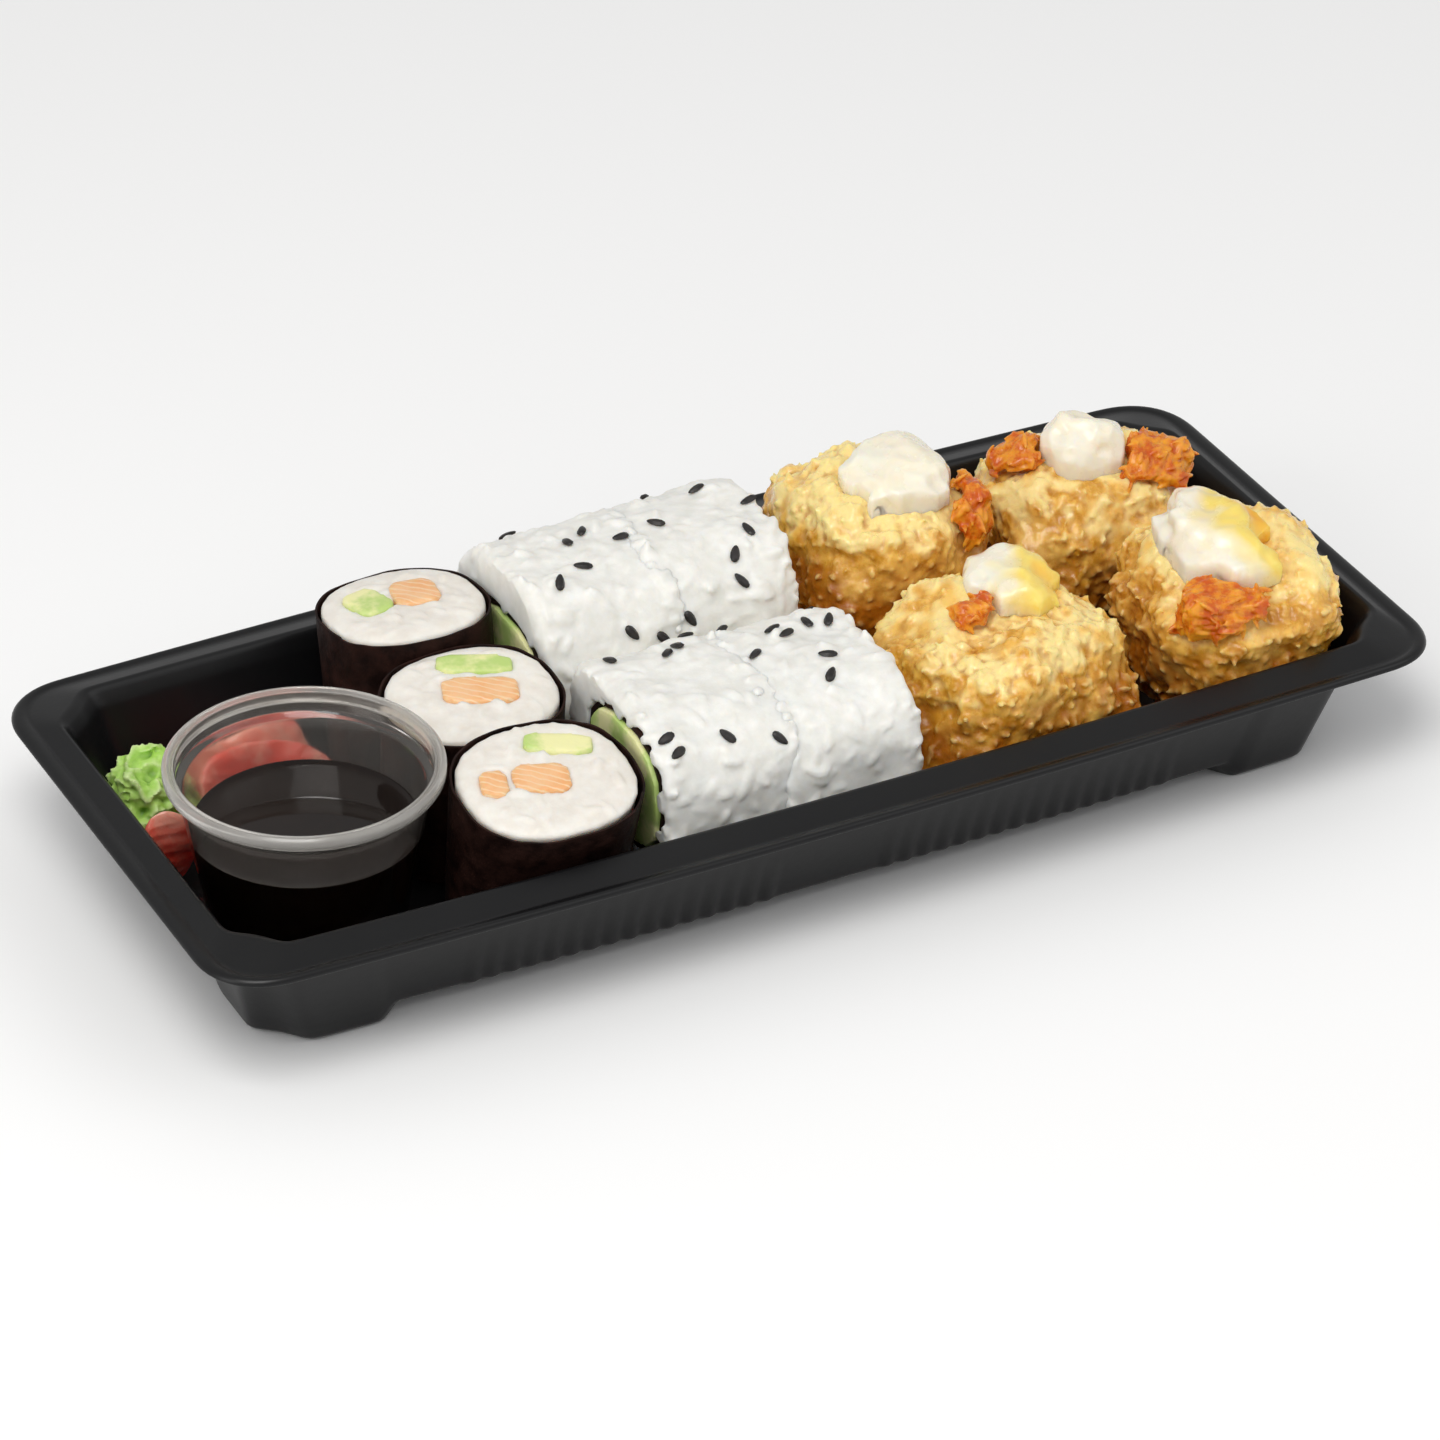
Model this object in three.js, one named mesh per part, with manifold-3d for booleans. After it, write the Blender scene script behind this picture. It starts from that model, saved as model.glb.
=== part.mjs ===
// A takeaway sushi tray: a black thermoformed tray that holds a clear cup of soy sauce, ginger, wasabi,
// three nori rolls stood on end, four rice-outside rolls with sesame, and four crumbed fried pieces
// topped with mayonnaise. Millimetres, +Z up. X runs along the tray, from the cup to the fried pieces,
// Y from its front to its back, and the origin is on the surface it stands on, at the middle.
import * as THREE from "three";
import { ImprovedNoise } from "three/addons/math/ImprovedNoise.js";
import { mergeVertices } from "three/addons/utils/BufferGeometryUtils.js";
import Module from "manifold-3d";

const wasm = await Module();
wasm.setup();

// ---- driving dimensions ----
const TRAY_LENGTH = 216.4; // over the edge of the flange
const TRAY_WIDTH = 92.4; // over the edge of the flange, at the corners; the long sides bow out past it
const TRAY_HEIGHT = 25; // feet to the rim of the well
const SIDE_BOW = 1.5;
const SHEET = 0.8;
const SIDE_FLANGE = 7.4; // width of the flange along the long sides
const END_FLANGE = 6.4;
const FLANGE_DROP = 1.8; // from the rim of the well down to the outer band
const BEAD = 0.35; // how far the outer band swells up
const OUTER_CORNER = 10;
const CORNER_CUT = 6.6; // the corners of the well are cut off this far back
const CORNER_BULGE = 0.9; // and the cut swells inwards
const WALL_LEAN = 5.8; // how far a wall leans out between floor and rim
const FOOT_HEIGHT = 3;
const FOOT_LENGTH = 11.5;
const FOOT_SLOPE = 3.5;
const RIB_PITCH = 3.4;
const RIB_COUNT = 16;
const RIB_START = 10.8; // of each group, from the middle of the long side
const RIB_RADIUS = 0.6;
const RIB_BOTTOM = 4;
const RIB_TOP = 13;

const GAP = 0.35; // left between pieces that touch
const FLOOR = FOOT_HEIGHT + SHEET;
const REST = FLOOR + GAP; // the underside of what stands on the floor

const CUP = { x: -78.3, y: -9.4, rimRadius: 21.9, height: 30.9, baseRadius: 14.8, wall: 0.9, soyDepth: 11.8 };

// A nori roll: the middle of its cut top, the half sizes there, the tilt of the cut about X in degrees
// and where its foot stands. The feet are crowded together by the sloping walls of the tray.
const NORI_ROLLS = [
  { name: "nori_roll_back", x: -45.0, y: 25.9, z: 34.3, hx: 13.9, hy: 12.4, tilt: -4, footX: -45.2, footY: 20.8 },
  { name: "nori_roll_middle", x: -45.1, y: 0.4, z: 32.2, hx: 14.6, hy: 12.6, tilt: 5, footX: -45.2, footY: 0 },
  { name: "nori_roll_front", x: -45.2, y: -26.3, z: 31.9, hx: 14.8, hy: 13.5, tilt: 10, footX: -45.2, footY: -20.8 },
];
const NORI_FOOT = { hx: 14.1, hy: 9.9 };
const NORI_SHEET = 0.7;
const ROLL_SQUARENESS = 2.4;

// What fills each nori roll: blocks in the plane of the cut, from its middle, in millimetres.
const FILLINGS = {
  nori_roll_back: [
    { kind: "avocado", u: -5.1, v: 2.2, w: 6.2, h: 7.6, turn: 12 },
    { kind: "salmon", u: 2.9, v: 1.7, w: 7.4, h: 7.8, turn: -8 },
  ],
  nori_roll_middle: [
    { kind: "avocado", u: 3.2, v: 5.9, w: 12.0, h: 4.2, turn: -24 },
    { kind: "salmon", u: 1.2, v: -0.6, w: 12.0, h: 6.2, turn: -20 },
  ],
  nori_roll_front: [
    { kind: "avocado", u: 4.8, v: 6.0, w: 10.6, h: 4.0, turn: -24 },
    { kind: "salmon", u: -1.0, v: -0.2, w: 8.8, h: 6.2, turn: -16 },
    { kind: "salmon_end", u: -8.4, v: 1.2, w: 4.0, h: 5.4, turn: -16 },
  ],
};

// A rice-outside roll lies along X: its two cut ends, the middle and half sizes of its section, and how
// far its filling lies off that middle.
const RICE_ROLLS = [
  { name: "rice_roll_back_left", x0: -30.4, x1: -7.1, y: 20.2, z: 21.6, hy: 17.8, hz: 18.8, core: [-2.0, 0.6], seed: 3 },
  { name: "rice_roll_back_right", x0: -6.5, x1: 16.1, y: 20.6, z: 22.1, hy: 17.2, hz: 18.8, core: [-2.0, 0.6], seed: 5 },
  { name: "rice_roll_front_left", x0: -28.8, x1: -6.5, y: -17.0, z: 20.5, hy: 18.4, hz: 16.6, core: [-3.0, 3.2], seed: 8 },
  { name: "rice_roll_front_right", x0: -5.9, x1: 16.5, y: -17.2, z: 20.2, hy: 18.6, hz: 16.3, core: [-3.0, 3.2], seed: 13 },
];
const RICE_SQUARENESS = 3.1;
const RICE_END_ROUND = 1.7;
const RICE_BUMP = 0.45;
const CORE = { hy: 13.2, hz: 11.2, proud: 0.3 };
const SEEDS_PER_ROLL = 9;
const SEED = { length: 3.0, width: 1.7, thick: 1.1, apart: 4.2 };

// A crumbed piece: the room it takes up along X and Y, and the height of its top.
const FRIED = [
  { name: "fried_back_left", x0: 18.6, x1: 56.0, y0: 2.0, y1: 38.2, top: 42.2, seed: 2.1 },
  { name: "fried_back_right", x0: 57.2, x1: 94.8, y0: 2.4, y1: 37.0, top: 35.8, seed: 5.7 },
  { name: "fried_front_left", x0: 17.8, x1: 61.0, y0: -39.4, y1: 1.2, top: 37.4, seed: 9.4 },
  { name: "fried_front_right", x0: 64.0, x1: 101.0, y0: -39.4, y1: 0.8, top: 39.2, seed: 12.8 },
];
const FRIED_DETAIL = 5;
const FRIED_SQUARENESS = 2.6;
const CRAG = 1.5;

// A topping lies on the named piece: its middle and half sizes.
const MAYONNAISE = [
  { name: "mayonnaise_back_left", on: "fried_back_left", x: 39.8, y: 17.6, z: 40.6, hx: 9.8, hy: 9.6, hz: 5.0 },
  { name: "mayonnaise_back_right", on: "fried_back_right", x: 76.6, y: 19.2, z: 35.8, hx: 7.2, hy: 7.0, hz: 5.6 },
  { name: "mayonnaise_front_left", on: "fried_front_left", x: 43.4, y: -14.8, z: 36.0, hx: 8.2, hy: 9.6, hz: 5.0 },
  { name: "mayonnaise_front_right", on: "fried_front_right", x: 79.4, y: -18.6, z: 37.2, hx: 9.2, hy: 13.2, hz: 5.8 },
];
const CRAB = [
  { name: "crab_back_left", on: "fried_back_left", x: 48.0, y: 11.4, z: 35.4, hx: 5.8, hy: 6.6, hz: 5.8 },
  { name: "crab_back_right_a", on: "fried_back_right", x: 66.4, y: 22.6, z: 33.6, hx: 5.4, hy: 4.4, hz: 3.8 },
  { name: "crab_back_right_b", on: "fried_back_right", x: 86.0, y: 13.2, z: 32.4, hx: 7.2, hy: 5.4, hz: 5.0 },
  { name: "crab_front_left", on: "fried_front_left", x: 35.6, y: -19.6, z: 35.0, hx: 5.4, hy: 3.8, hz: 3.6 },
  { name: "crab_front_right", on: "fried_front_right", x: 73.6, y: -31.0, z: 33.0, hx: 8.2, hy: 5.8, hz: 5.6 },
];

const WASABI = { x: -91.2, y: 23.4, z: 12.0, hx: 7.4, hy: 6.4, hz: 8.0 };
// A slice of pickled ginger: its middle, length, width, turn about X, Y and Z in degrees, and its curl.
const GINGER = [
  { name: "ginger_slice_a", x: -73.4, y: 17.6, z: 12.6, l: 25, w: 15, turn: [62, 6, -4], curl: 0.9 },
  { name: "ginger_slice_b", x: -72.4, y: 23.4, z: 11.2, l: 22, w: 14, turn: [66, -8, 3], curl: -0.8 },
  { name: "ginger_slice_c", x: -95.1, y: 6.6, z: 12.8, l: 18, w: 11, turn: [0, 72, 84], curl: 0.5 },
];
const GINGER_THICK = 1.3;

const COLOURS = {
  tray: { color: 0x2a2b2e, roughness: 0.45 },
  cup: { color: 0xb9b4ac, roughness: 0.2 },
  soy: { color: 0x1a0f0c, roughness: 0.1 },
  wasabi: { color: 0x6db83a, roughness: 0.7 },
  ginger: { color: 0xb8433d, roughness: 0.35 },
  nori: { color: 0x21191a, roughness: 0.6 },
  rice: { color: 0xe9e8e2, roughness: 0.6 },
  avocado: { color: 0xbcc96a, roughness: 0.5 },
  salmon: { color: 0xf2b183, roughness: 0.45 },
  fried: { color: 0xc9983f, roughness: 0.6 },
  mayonnaise: { color: 0xf7efd8, roughness: 0.35 },
  crab: { color: 0xd97a3c, roughness: 0.5 },
};

// ---- shapes ----
const { abs, cos, sin, sign, sqrt, min, max, PI } = Math;
const noise = new ImprovedNoise();
const lerp = THREE.MathUtils.lerp;
const rad = THREE.MathUtils.degToRad;

// A draw that gives the same numbers on every run.
function dice(seed) {
  let state = seed >>> 0;
  return () => {
    state = (Math.imul(state, 1664525) + 1013904223) >>> 0;
    return state / 4294967296;
  };
}

function superellipse(angle, a, b, n) {
  const c = cos(angle);
  const s = sin(angle);
  return [a * sign(c) * abs(c) ** (2 / n), b * sign(s) * abs(s) ** (2 / n)];
}

function signedVolume(points, faces) {
  let volume = 0;
  for (const [a, b, c] of faces) {
    volume += points[a].dot(points[b].clone().cross(points[c])) / 6;
  }
  return volume;
}

// A geometry of points and faces, turned so that its faces point out.
function closedGeometry(points, faces) {
  const outward = signedVolume(points, faces) > 0;
  const order = outward ? faces.flat() : faces.map(([a, b, c]) => [a, c, b]).flat();
  const geometry = new THREE.BufferGeometry().setFromPoints(points);
  geometry.setIndex(order);
  return geometry;
}

// A skin over rings of equally many points. A cap is a point; without caps the last ring meets the first.
function skin(rings, firstCap, lastCap) {
  const count = rings[0].length;
  const points = rings.flat();
  const faces = [];
  const joins = firstCap ? rings.length - 1 : rings.length;
  for (let r = 0; r < joins; r++) {
    const next = (r + 1) % rings.length;
    for (let i = 0; i < count; i++) {
      const j = (i + 1) % count;
      const [a, b, c, d] = [r * count + i, r * count + j, next * count + j, next * count + i];
      faces.push([a, b, c], [a, c, d]);
    }
  }
  if (firstCap) {
    const first = points.push(firstCap) - 1;
    const last = points.push(lastCap) - 1;
    const base = (rings.length - 1) * count;
    for (let i = 0; i < count; i++) {
      const j = (i + 1) % count;
      faces.push([first, j, i], [last, base + i, base + j]);
    }
  }
  return closedGeometry(points, faces);
}

function middleOf(ring) {
  const sum = ring.reduce((total, p) => total.add(p), new THREE.Vector3());
  return sum.divideScalar(ring.length);
}

// ---- joining and cutting ----
function solidOf(geometry) {
  const bare = geometry.clone();
  bare.deleteAttribute("normal");
  bare.deleteAttribute("uv");
  const merged = mergeVertices(bare, 1e-4);
  return new wasm.Manifold(
    new wasm.Mesh({
      numProp: 3,
      vertProperties: new Float32Array(merged.getAttribute("position").array),
      triVerts: new Uint32Array(merged.index.array),
    }),
  );
}

function geometryOf(solid) {
  const mesh = solid.getMesh();
  const geometry = new THREE.BufferGeometry();
  geometry.setAttribute("position", new THREE.BufferAttribute(mesh.vertProperties, 3));
  geometry.setIndex(new THREE.BufferAttribute(mesh.triVerts, 1));
  return geometry;
}

function largestBody(solid) {
  const bodies = solid.decompose();
  bodies.sort((a, b) => b.volume() - a.volume());
  return bodies[0];
}

function cutAway(geometry, cutters) {
  let solid = solidOf(geometry);
  for (const cutter of cutters) solid = solid.subtract(solidOf(cutter));
  return geometryOf(largestBody(solid));
}

function fuse(geometry, additions) {
  let solid = solidOf(geometry);
  for (const addition of additions) solid = solid.add(solidOf(addition));
  return geometryOf(largestBody(solid));
}

const part = new THREE.Group();

function place(name, geometry, finish) {
  const mesh = new THREE.Mesh(geometry, new THREE.MeshStandardMaterial(COLOURS[finish]));
  mesh.name = name;
  part.add(mesh);
}

// ---- the tray ----
const RIM_A = TRAY_LENGTH / 2 - END_FLANGE;
const RIM_B = TRAY_WIDTH / 2 - SIDE_FLANGE;
const FOOT_A = RIM_A - WALL_LEAN;
const FOOT_B = RIM_B - WALL_LEAN;
const CORNER_STEPS = 4;

// Where the points of one side lie, from 0 to 1: closer together at the ends, where the feet are.
function sideFractions(length, steps) {
  const foot = FOOT_LENGTH / length;
  const slope = FOOT_SLOPE / length;
  const fractions = [0, foot, foot + slope];
  for (let i = 1; i < steps; i++) fractions.push(lerp(foot + slope, 1 - foot - slope, i / steps));
  fractions.push(1 - foot - slope, 1 - foot);
  return fractions;
}

const LONG_FRACTIONS = sideFractions(2 * (FOOT_A - CORNER_CUT), 6);
const SHORT_FRACTIONS = sideFractions(2 * (FOOT_B - CORNER_CUT), 2);

// A corner from one side's end to the next one's start: rounded outwards, or cut off and swelling in.
function cornerPoint(corner, t, cut, rounded) {
  const [sx, sy] = corner;
  if (rounded) {
    const angle = (t * PI) / 2;
    return [-cut + cut * cos(angle), -cut + cut * sin(angle), sx, sy];
  }
  const swell = CORNER_BULGE * sin(PI * t) * (cut / CORNER_CUT) * Math.SQRT1_2;
  return [-cut * t - swell, -cut * (1 - t) - swell, sx, sy];
}

// An outline of the tray at half sizes a and b, at the height that heightAt gives for a foot or not.
function outline(a, b, cut, rounded, footZ, floorZ) {
  const points = [];
  const corners = [[1, 1], [-1, 1], [-1, -1], [1, -1]];
  corners.forEach(([sx, sy], k) => {
    for (let i = 0; i < CORNER_STEPS; i++) {
      const t = i / CORNER_STEPS;
      const along = k % 2 === 0 ? t : 1 - t;
      const [dx, dy] = cornerPoint([sx, sy], along, cut, rounded);
      points.push(new THREE.Vector3(sx * (a + dx), sy * (b + dy), footZ));
    }
    const long = k % 2 === 0;
    const fractions = long ? LONG_FRACTIONS : SHORT_FRACTIONS;
    fractions.forEach((f, i) => {
      const foot = i <= 1 || i === fractions.length - 1;
      const z = foot ? footZ : floorZ;
      const bow = SIDE_BOW * 4 * f * (1 - f);
      const reach = 1 - 2 * f;
      const end = (long ? a : b) - cut;
      points.push(
        long
          ? new THREE.Vector3(sx * end * reach, sy * (b + bow), z)
          : new THREE.Vector3(sx * a, sy * end * reach, z),
      );
    });
  });
  return points;
}

function well(shrink, footZ, floorZ) {
  return outline(FOOT_A - shrink, FOOT_B - shrink, CORNER_CUT, false, footZ, floorZ);
}

function inset(shrink, footZ, floorZ) {
  return outline(FOOT_A - shrink, FOOT_B - shrink, 4, false, footZ, floorZ);
}

function wallRing(rise, grow, z) {
  return outline(FOOT_A + WALL_LEAN * rise + grow, FOOT_B + WALL_LEAN * rise + grow, CORNER_CUT, false, z, z);
}

// A ring of the flange: how far across it lies at the ends and along the sides, from 0 inside to 1.
function flangeRing(end, side, z) {
  return outline(RIM_A + END_FLANGE * end, RIM_B + SIDE_FLANGE * side, OUTER_CORNER * side, true, z, z);
}

function trayShell() {
  const t = SHEET;
  const top = TRAY_HEIGHT;
  const band = top - FLANGE_DROP;
  const inside = [
    inset(13.4, FLOOR, FLOOR),
    inset(12.4, t, FLOOR),
    well(1.8, t, FLOOR),
    well(0.7, t + 1, FLOOR + 1),
    wallRing(0.9, -t, top - 3),
    wallRing(1, -0.3, top - 0.7),
    wallRing(1, 0.5, top),
    flangeRing(0.52, 0.74, band),
    flangeRing(0.68, 0.86, band + BEAD),
    flangeRing(0.88, 0.95, band + 0.8 * BEAD),
    flangeRing(1, 1, band - 0.4),
  ];
  const outside = [
    flangeRing(0.99, 0.99, band - 0.75),
    flangeRing(0.6, 0.8, band - t),
    wallRing(1, 1.2, top - 1.5),
    wallRing(0.9, 0.1, top - 3.6),
    well(0, 1, FOOT_HEIGHT + 1),
    well(1.2, 0, FOOT_HEIGHT),
    inset(11.4, 0, FOOT_HEIGHT),
    inset(12.6, FOOT_HEIGHT, FOOT_HEIGHT),
  ];
  return skin([...inside, ...outside], new THREE.Vector3(0, 0, FLOOR), new THREE.Vector3(0, 0, FOOT_HEIGHT));
}

// One flute of the long walls: three outer faces that sink into the wall towards its top.
function rib(x, side) {
  const wallY = (z) => {
    const rise = (z - 1) / (TRAY_HEIGHT - 4.6);
    const bow = SIDE_BOW * (1 - (x / FOOT_A) ** 2);
    return FOOT_B + 0.9 * WALL_LEAN * rise + bow - 0.4;
  };
  const section = [[-1.6, -0.3], [0, 1.3], [1.6, -0.3]];
  const rings = [[RIB_BOTTOM, 1], [RIB_TOP, 0.25]].map(([z, size]) =>
    section.map(([across, out]) => {
      const y = wallY(z) + RIB_RADIUS * out * (out > 0 ? size : 1);
      return new THREE.Vector3(x + RIB_RADIUS * across, side * y, z);
    }),
  );
  return skin(rings, middleOf(rings[0]), middleOf(rings[1]));
}

function tray() {
  const ribs = [];
  for (const side of [-1, 1]) {
    for (const half of [-1, 1]) {
      for (let i = 0; i < RIB_COUNT; i++) ribs.push(rib(half * (RIB_START + i * RIB_PITCH), side));
    }
  }
  place("tray", fuse(trayShell(), ribs), "tray");
}

// How far the inside of the walls has leant out at a height, less the gap that the food keeps.
function leanAt(z) {
  const rise = (max(z, FLOOR + 1) - FLOOR - 1) / (TRAY_HEIGHT - 3 - FLOOR - 1);
  return 0.9 * WALL_LEAN * min(rise, 1) - SHEET - GAP;
}

// Keeps a point of the food above the floor and, below the flange, inside the walls and cut corners.
function keepInside(p) {
  if (p.z < TRAY_HEIGHT + GAP) {
    const a = FOOT_A + leanAt(p.z);
    const b = FOOT_B + leanAt(p.z) + SIDE_BOW * (1 - (p.x / FOOT_A) ** 2);
    const x = min(abs(p.x), a);
    const y = min(abs(p.y), b);
    const past = max(0, x - a + y - b + CORNER_CUT + 2 * CORNER_BULGE + GAP);
    p.x = sign(p.x) * (x - past / 2);
    p.y = sign(p.y) * (y - past / 2);
  }
  p.z = max(REST, p.z);
  return p;
}

// ---- the cup and its sauce ----
const CUP_SEGMENTS = 24;
const CUP_TOP = REST + CUP.height;
const CUP_LEDGE = 4; // below the rim, where the wall steps in

function cupRadius(depth) {
  return lerp(19.7, CUP.baseRadius + 0.6, (depth - CUP_LEDGE) / (CUP.height - CUP_LEDGE));
}

function cupProfile() {
  const { rimRadius: r, height: h, baseRadius: base, wall } = CUP;
  const outer = [
    [0, 0.6], [base - 2, 0.6], [base - 1.4, 0], [base - 0.4, 0], [base + 0.4, 1.2],
    [cupRadius(CUP_LEDGE), h - CUP_LEDGE], [20.3, h - 2.2], [r - 0.3, h - 2.3], [r, h - 1.7], [r, h - 0.5],
  ];
  const inner = [
    [r - 0.7, h], [r - 1.7, h - 0.1], [20.6, h - 0.9], [19.9, h - CUP_LEDGE + 0.4],
    [cupRadius(CUP_LEDGE) - wall, h - CUP_LEDGE - 0.3], [base - 0.6, 1.9], [base - 1.6, 1.4], [0, 1.4],
  ];
  return [...outer, ...inner].map(([x, y]) => new THREE.Vector2(x, y));
}

function lathe(profile, x, y, z) {
  const geometry = new THREE.LatheGeometry(profile, CUP_SEGMENTS);
  geometry.rotateX(PI / 2);
  geometry.translate(x, y, z);
  return geometry;
}

function cupAndSauce() {
  place("sauce_cup", lathe(cupProfile(), CUP.x, CUP.y, REST), "cup");
  const level = CUP.height - CUP.soyDepth;
  const top = cupRadius(CUP.soyDepth) - CUP.wall - GAP;
  const sauce = [[0, 1.4 + GAP], [CUP.baseRadius - 1.9, 1.4 + GAP], [CUP.baseRadius - 0.9, 2.6], [top, level], [0, level]];
  place("soy_sauce", lathe(sauce.map(([x, y]) => new THREE.Vector2(x, y)), CUP.x, CUP.y, REST), "soy");
}

// ---- nori rolls, stood on end ----
const ROLL_AROUND = 22;
const FILLING_SIDES = 8;

// A point of a roll: u and v in the plane of its cut, t from its foot to its top.
function rollPoint(roll, u, v, t) {
  const width = lerp(NORI_FOOT.hx / roll.hx, 1, t);
  const depth = lerp(NORI_FOOT.hy / roll.hy, 1, t);
  const tilt = rad(roll.tilt) * t;
  const x = lerp(roll.footX, roll.x, t) + u * width;
  const y = lerp(roll.footY, roll.y, t) + v * depth * cos(tilt);
  const z = lerp(REST, roll.z, t) + v * sin(tilt);
  return new THREE.Vector3(x, y, z);
}

function rollRing(roll, inset, t, lift = 0) {
  const ring = [];
  for (let i = 0; i < ROLL_AROUND; i++) {
    const [u, v] = superellipse((i / ROLL_AROUND) * 2 * PI, roll.hx - inset, roll.hy - inset, ROLL_SQUARENESS);
    const p = rollPoint(roll, u, v, t);
    p.z += lift;
    ring.push(p);
  }
  return ring;
}

function noriSleeve(roll) {
  return skin([rollRing(roll, 0, 0), rollRing(roll, 0, 1), rollRing(roll, NORI_SHEET, 1), rollRing(roll, NORI_SHEET, 0)]);
}

// A block of filling as a prism through the roll, grown on every side by a margin.
function fillingPrism(roll, { u, v, w, h, turn }, margin, from, to) {
  const angle = rad(turn);
  const rings = [from, to].map((t) => {
    const ring = [];
    for (let i = 0; i < FILLING_SIDES; i++) {
      const around = ((i + 0.5) / FILLING_SIDES) * 2 * PI;
      const [p, q] = superellipse(around, w / 2 + margin, h / 2 + margin, 4);
      ring.push(rollPoint(roll, u + p * cos(angle) - q * sin(angle), v + p * sin(angle) + q * cos(angle), t));
    }
    return ring;
  });
  return skin(rings, middleOf(rings[0]), middleOf(rings[1]));
}

function noriRoll(roll) {
  place(roll.name + "_nori", noriSleeve(roll), "nori");
  const edge = NORI_SHEET + GAP;
  const rings = [rollRing(roll, edge, 0), rollRing(roll, edge, 1), rollRing(roll, edge + 1.6, 1, 0.6)];
  const rice = skin(rings, middleOf(rings[0]), middleOf(rings[2]).add(new THREE.Vector3(0, 0, 0.3)));
  const blocks = FILLINGS[roll.name];
  const holes = blocks.map((block) => fillingPrism(roll, block, GAP, -0.2, 1.2));
  place(roll.name + "_rice", cutAway(rice, holes), "rice");
  for (const block of blocks) {
    const finish = block.kind === "avocado" ? "avocado" : "salmon";
    place(roll.name + "_" + block.kind, fillingPrism(roll, block, 0, 0.002, 1.03), finish);
  }
}

// ---- rice-outside rolls, lying along X ----
const RICE_AROUND = 24;
const OVAL_SIDES = 14;

// A point of the rice: angle round the section, s from end to end, and how much the skin is raised.
function ricePoint(roll, angle, s, raised) {
  const x = lerp(roll.x0, roll.x1, s);
  const toEnd = min(x - roll.x0, roll.x1 - x);
  const short = max(0, RICE_END_ROUND - toEnd);
  const rounding = RICE_END_ROUND - sqrt(RICE_END_ROUND ** 2 - short ** 2);
  const [dy, dz] = superellipse(angle, roll.hy - rounding + raised, roll.hz - rounding + raised, RICE_SQUARENESS);
  return new THREE.Vector3(x, roll.y + dy, roll.z + dz);
}

function riceBump(roll, x, y, z) {
  return RICE_BUMP * (noise.noise(x / 2.9 + roll.seed, y / 2.9, z / 2.9) - 0.35);
}

function riceBody(roll) {
  const span = roll.x1 - roll.x0;
  const stations = [0, 0.7, 3, span / 2, span - 3, span - 0.7, span];
  const rings = stations.map((d) => {
    const ring = [];
    for (let i = 0; i < RICE_AROUND; i++) {
      const angle = (i / RICE_AROUND) * 2 * PI;
      const flat = ricePoint(roll, angle, d / span, 0);
      const bump = riceBump(roll, flat.x, flat.y, flat.z);
      ring.push(keepInside(ricePoint(roll, angle, d / span, bump)));
    }
    return ring;
  });
  return skin(rings, middleOf(rings[0]), middleOf(rings[rings.length - 1]));
}

function oval(roll, shrink, from, to) {
  const rings = [from, to].map((x) => {
    const ring = [];
    for (let i = 0; i < OVAL_SIDES; i++) {
      const [dy, dz] = superellipse((i / OVAL_SIDES) * 2 * PI, CORE.hy - shrink, CORE.hz - shrink, 2.7);
      ring.push(new THREE.Vector3(x, roll.y + roll.core[0] + dy, roll.z + roll.core[1] + dz));
    }
    return ring;
  });
  return rings;
}

// A sesame seed on the skin of a roll, flat against it and turned at random.
function sesame(roll, angle, s, turn) {
  const geometry = new THREE.SphereGeometry(0.5, 5, 3);
  geometry.scale(SEED.length, SEED.width, SEED.thick);
  geometry.rotateZ(turn);
  const at = ricePoint(roll, angle, s, 0);
  const ahead = ricePoint(roll, angle + 0.02, s, 0);
  const along = new THREE.Vector3(1, 0, 0);
  const round = ahead.sub(at).normalize();
  const out = along.clone().cross(round).normalize();
  geometry.applyMatrix4(new THREE.Matrix4().makeBasis(along, round, out));
  geometry.translate(at.x, at.y, at.z);
  return geometry;
}

// The seeds lie on the top and the open sides, thrown at random but never on each other.
function sesameSeeds(roll) {
  const throwDice = dice(roll.seed * 7919);
  const seeds = [];
  const taken = [];
  for (let tries = 0; seeds.length < SEEDS_PER_ROLL && tries < 400; tries++) {
    const angle = rad(lerp(10, 185, throwDice()));
    const s = lerp(0.14, 0.86, throwDice());
    const turn = throwDice() * PI;
    const at = ricePoint(roll, angle, s, 0);
    if (at.z < TRAY_HEIGHT + 1.5 || taken.some((p) => p.distanceTo(at) < SEED.apart)) continue;
    taken.push(at);
    seeds.push(sesame(roll, angle, s, turn));
  }
  return seeds;
}

function riceRoll(roll) {
  const [holeFrom, holeTo] = [roll.x0 - 3, roll.x1 + 3];
  const hole = oval(roll, 0, holeFrom, holeTo);
  const body = fuse(riceBody(roll), sesameSeeds(roll));
  place(roll.name + "_rice", cutAway(body, [skin(hole, middleOf(hole[0]), middleOf(hole[1]))]), "rice");
  const [x0, x1] = [roll.x0 + GAP, roll.x1 - GAP];
  const outer = oval(roll, GAP, x0, x1);
  const inner = oval(roll, GAP + NORI_SHEET, x0, x1);
  place(roll.name + "_nori", skin([outer[0], outer[1], inner[1], inner[0]]), "nori");
  const core = oval(roll, 2 * GAP + NORI_SHEET, roll.x0 - CORE.proud, roll.x1);
  place(roll.name + "_avocado", skin(core, middleOf(core[0]), middleOf(core[1])), "avocado");
}

// ---- crumbed pieces and their toppings ----
const solids = new Map();

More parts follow.
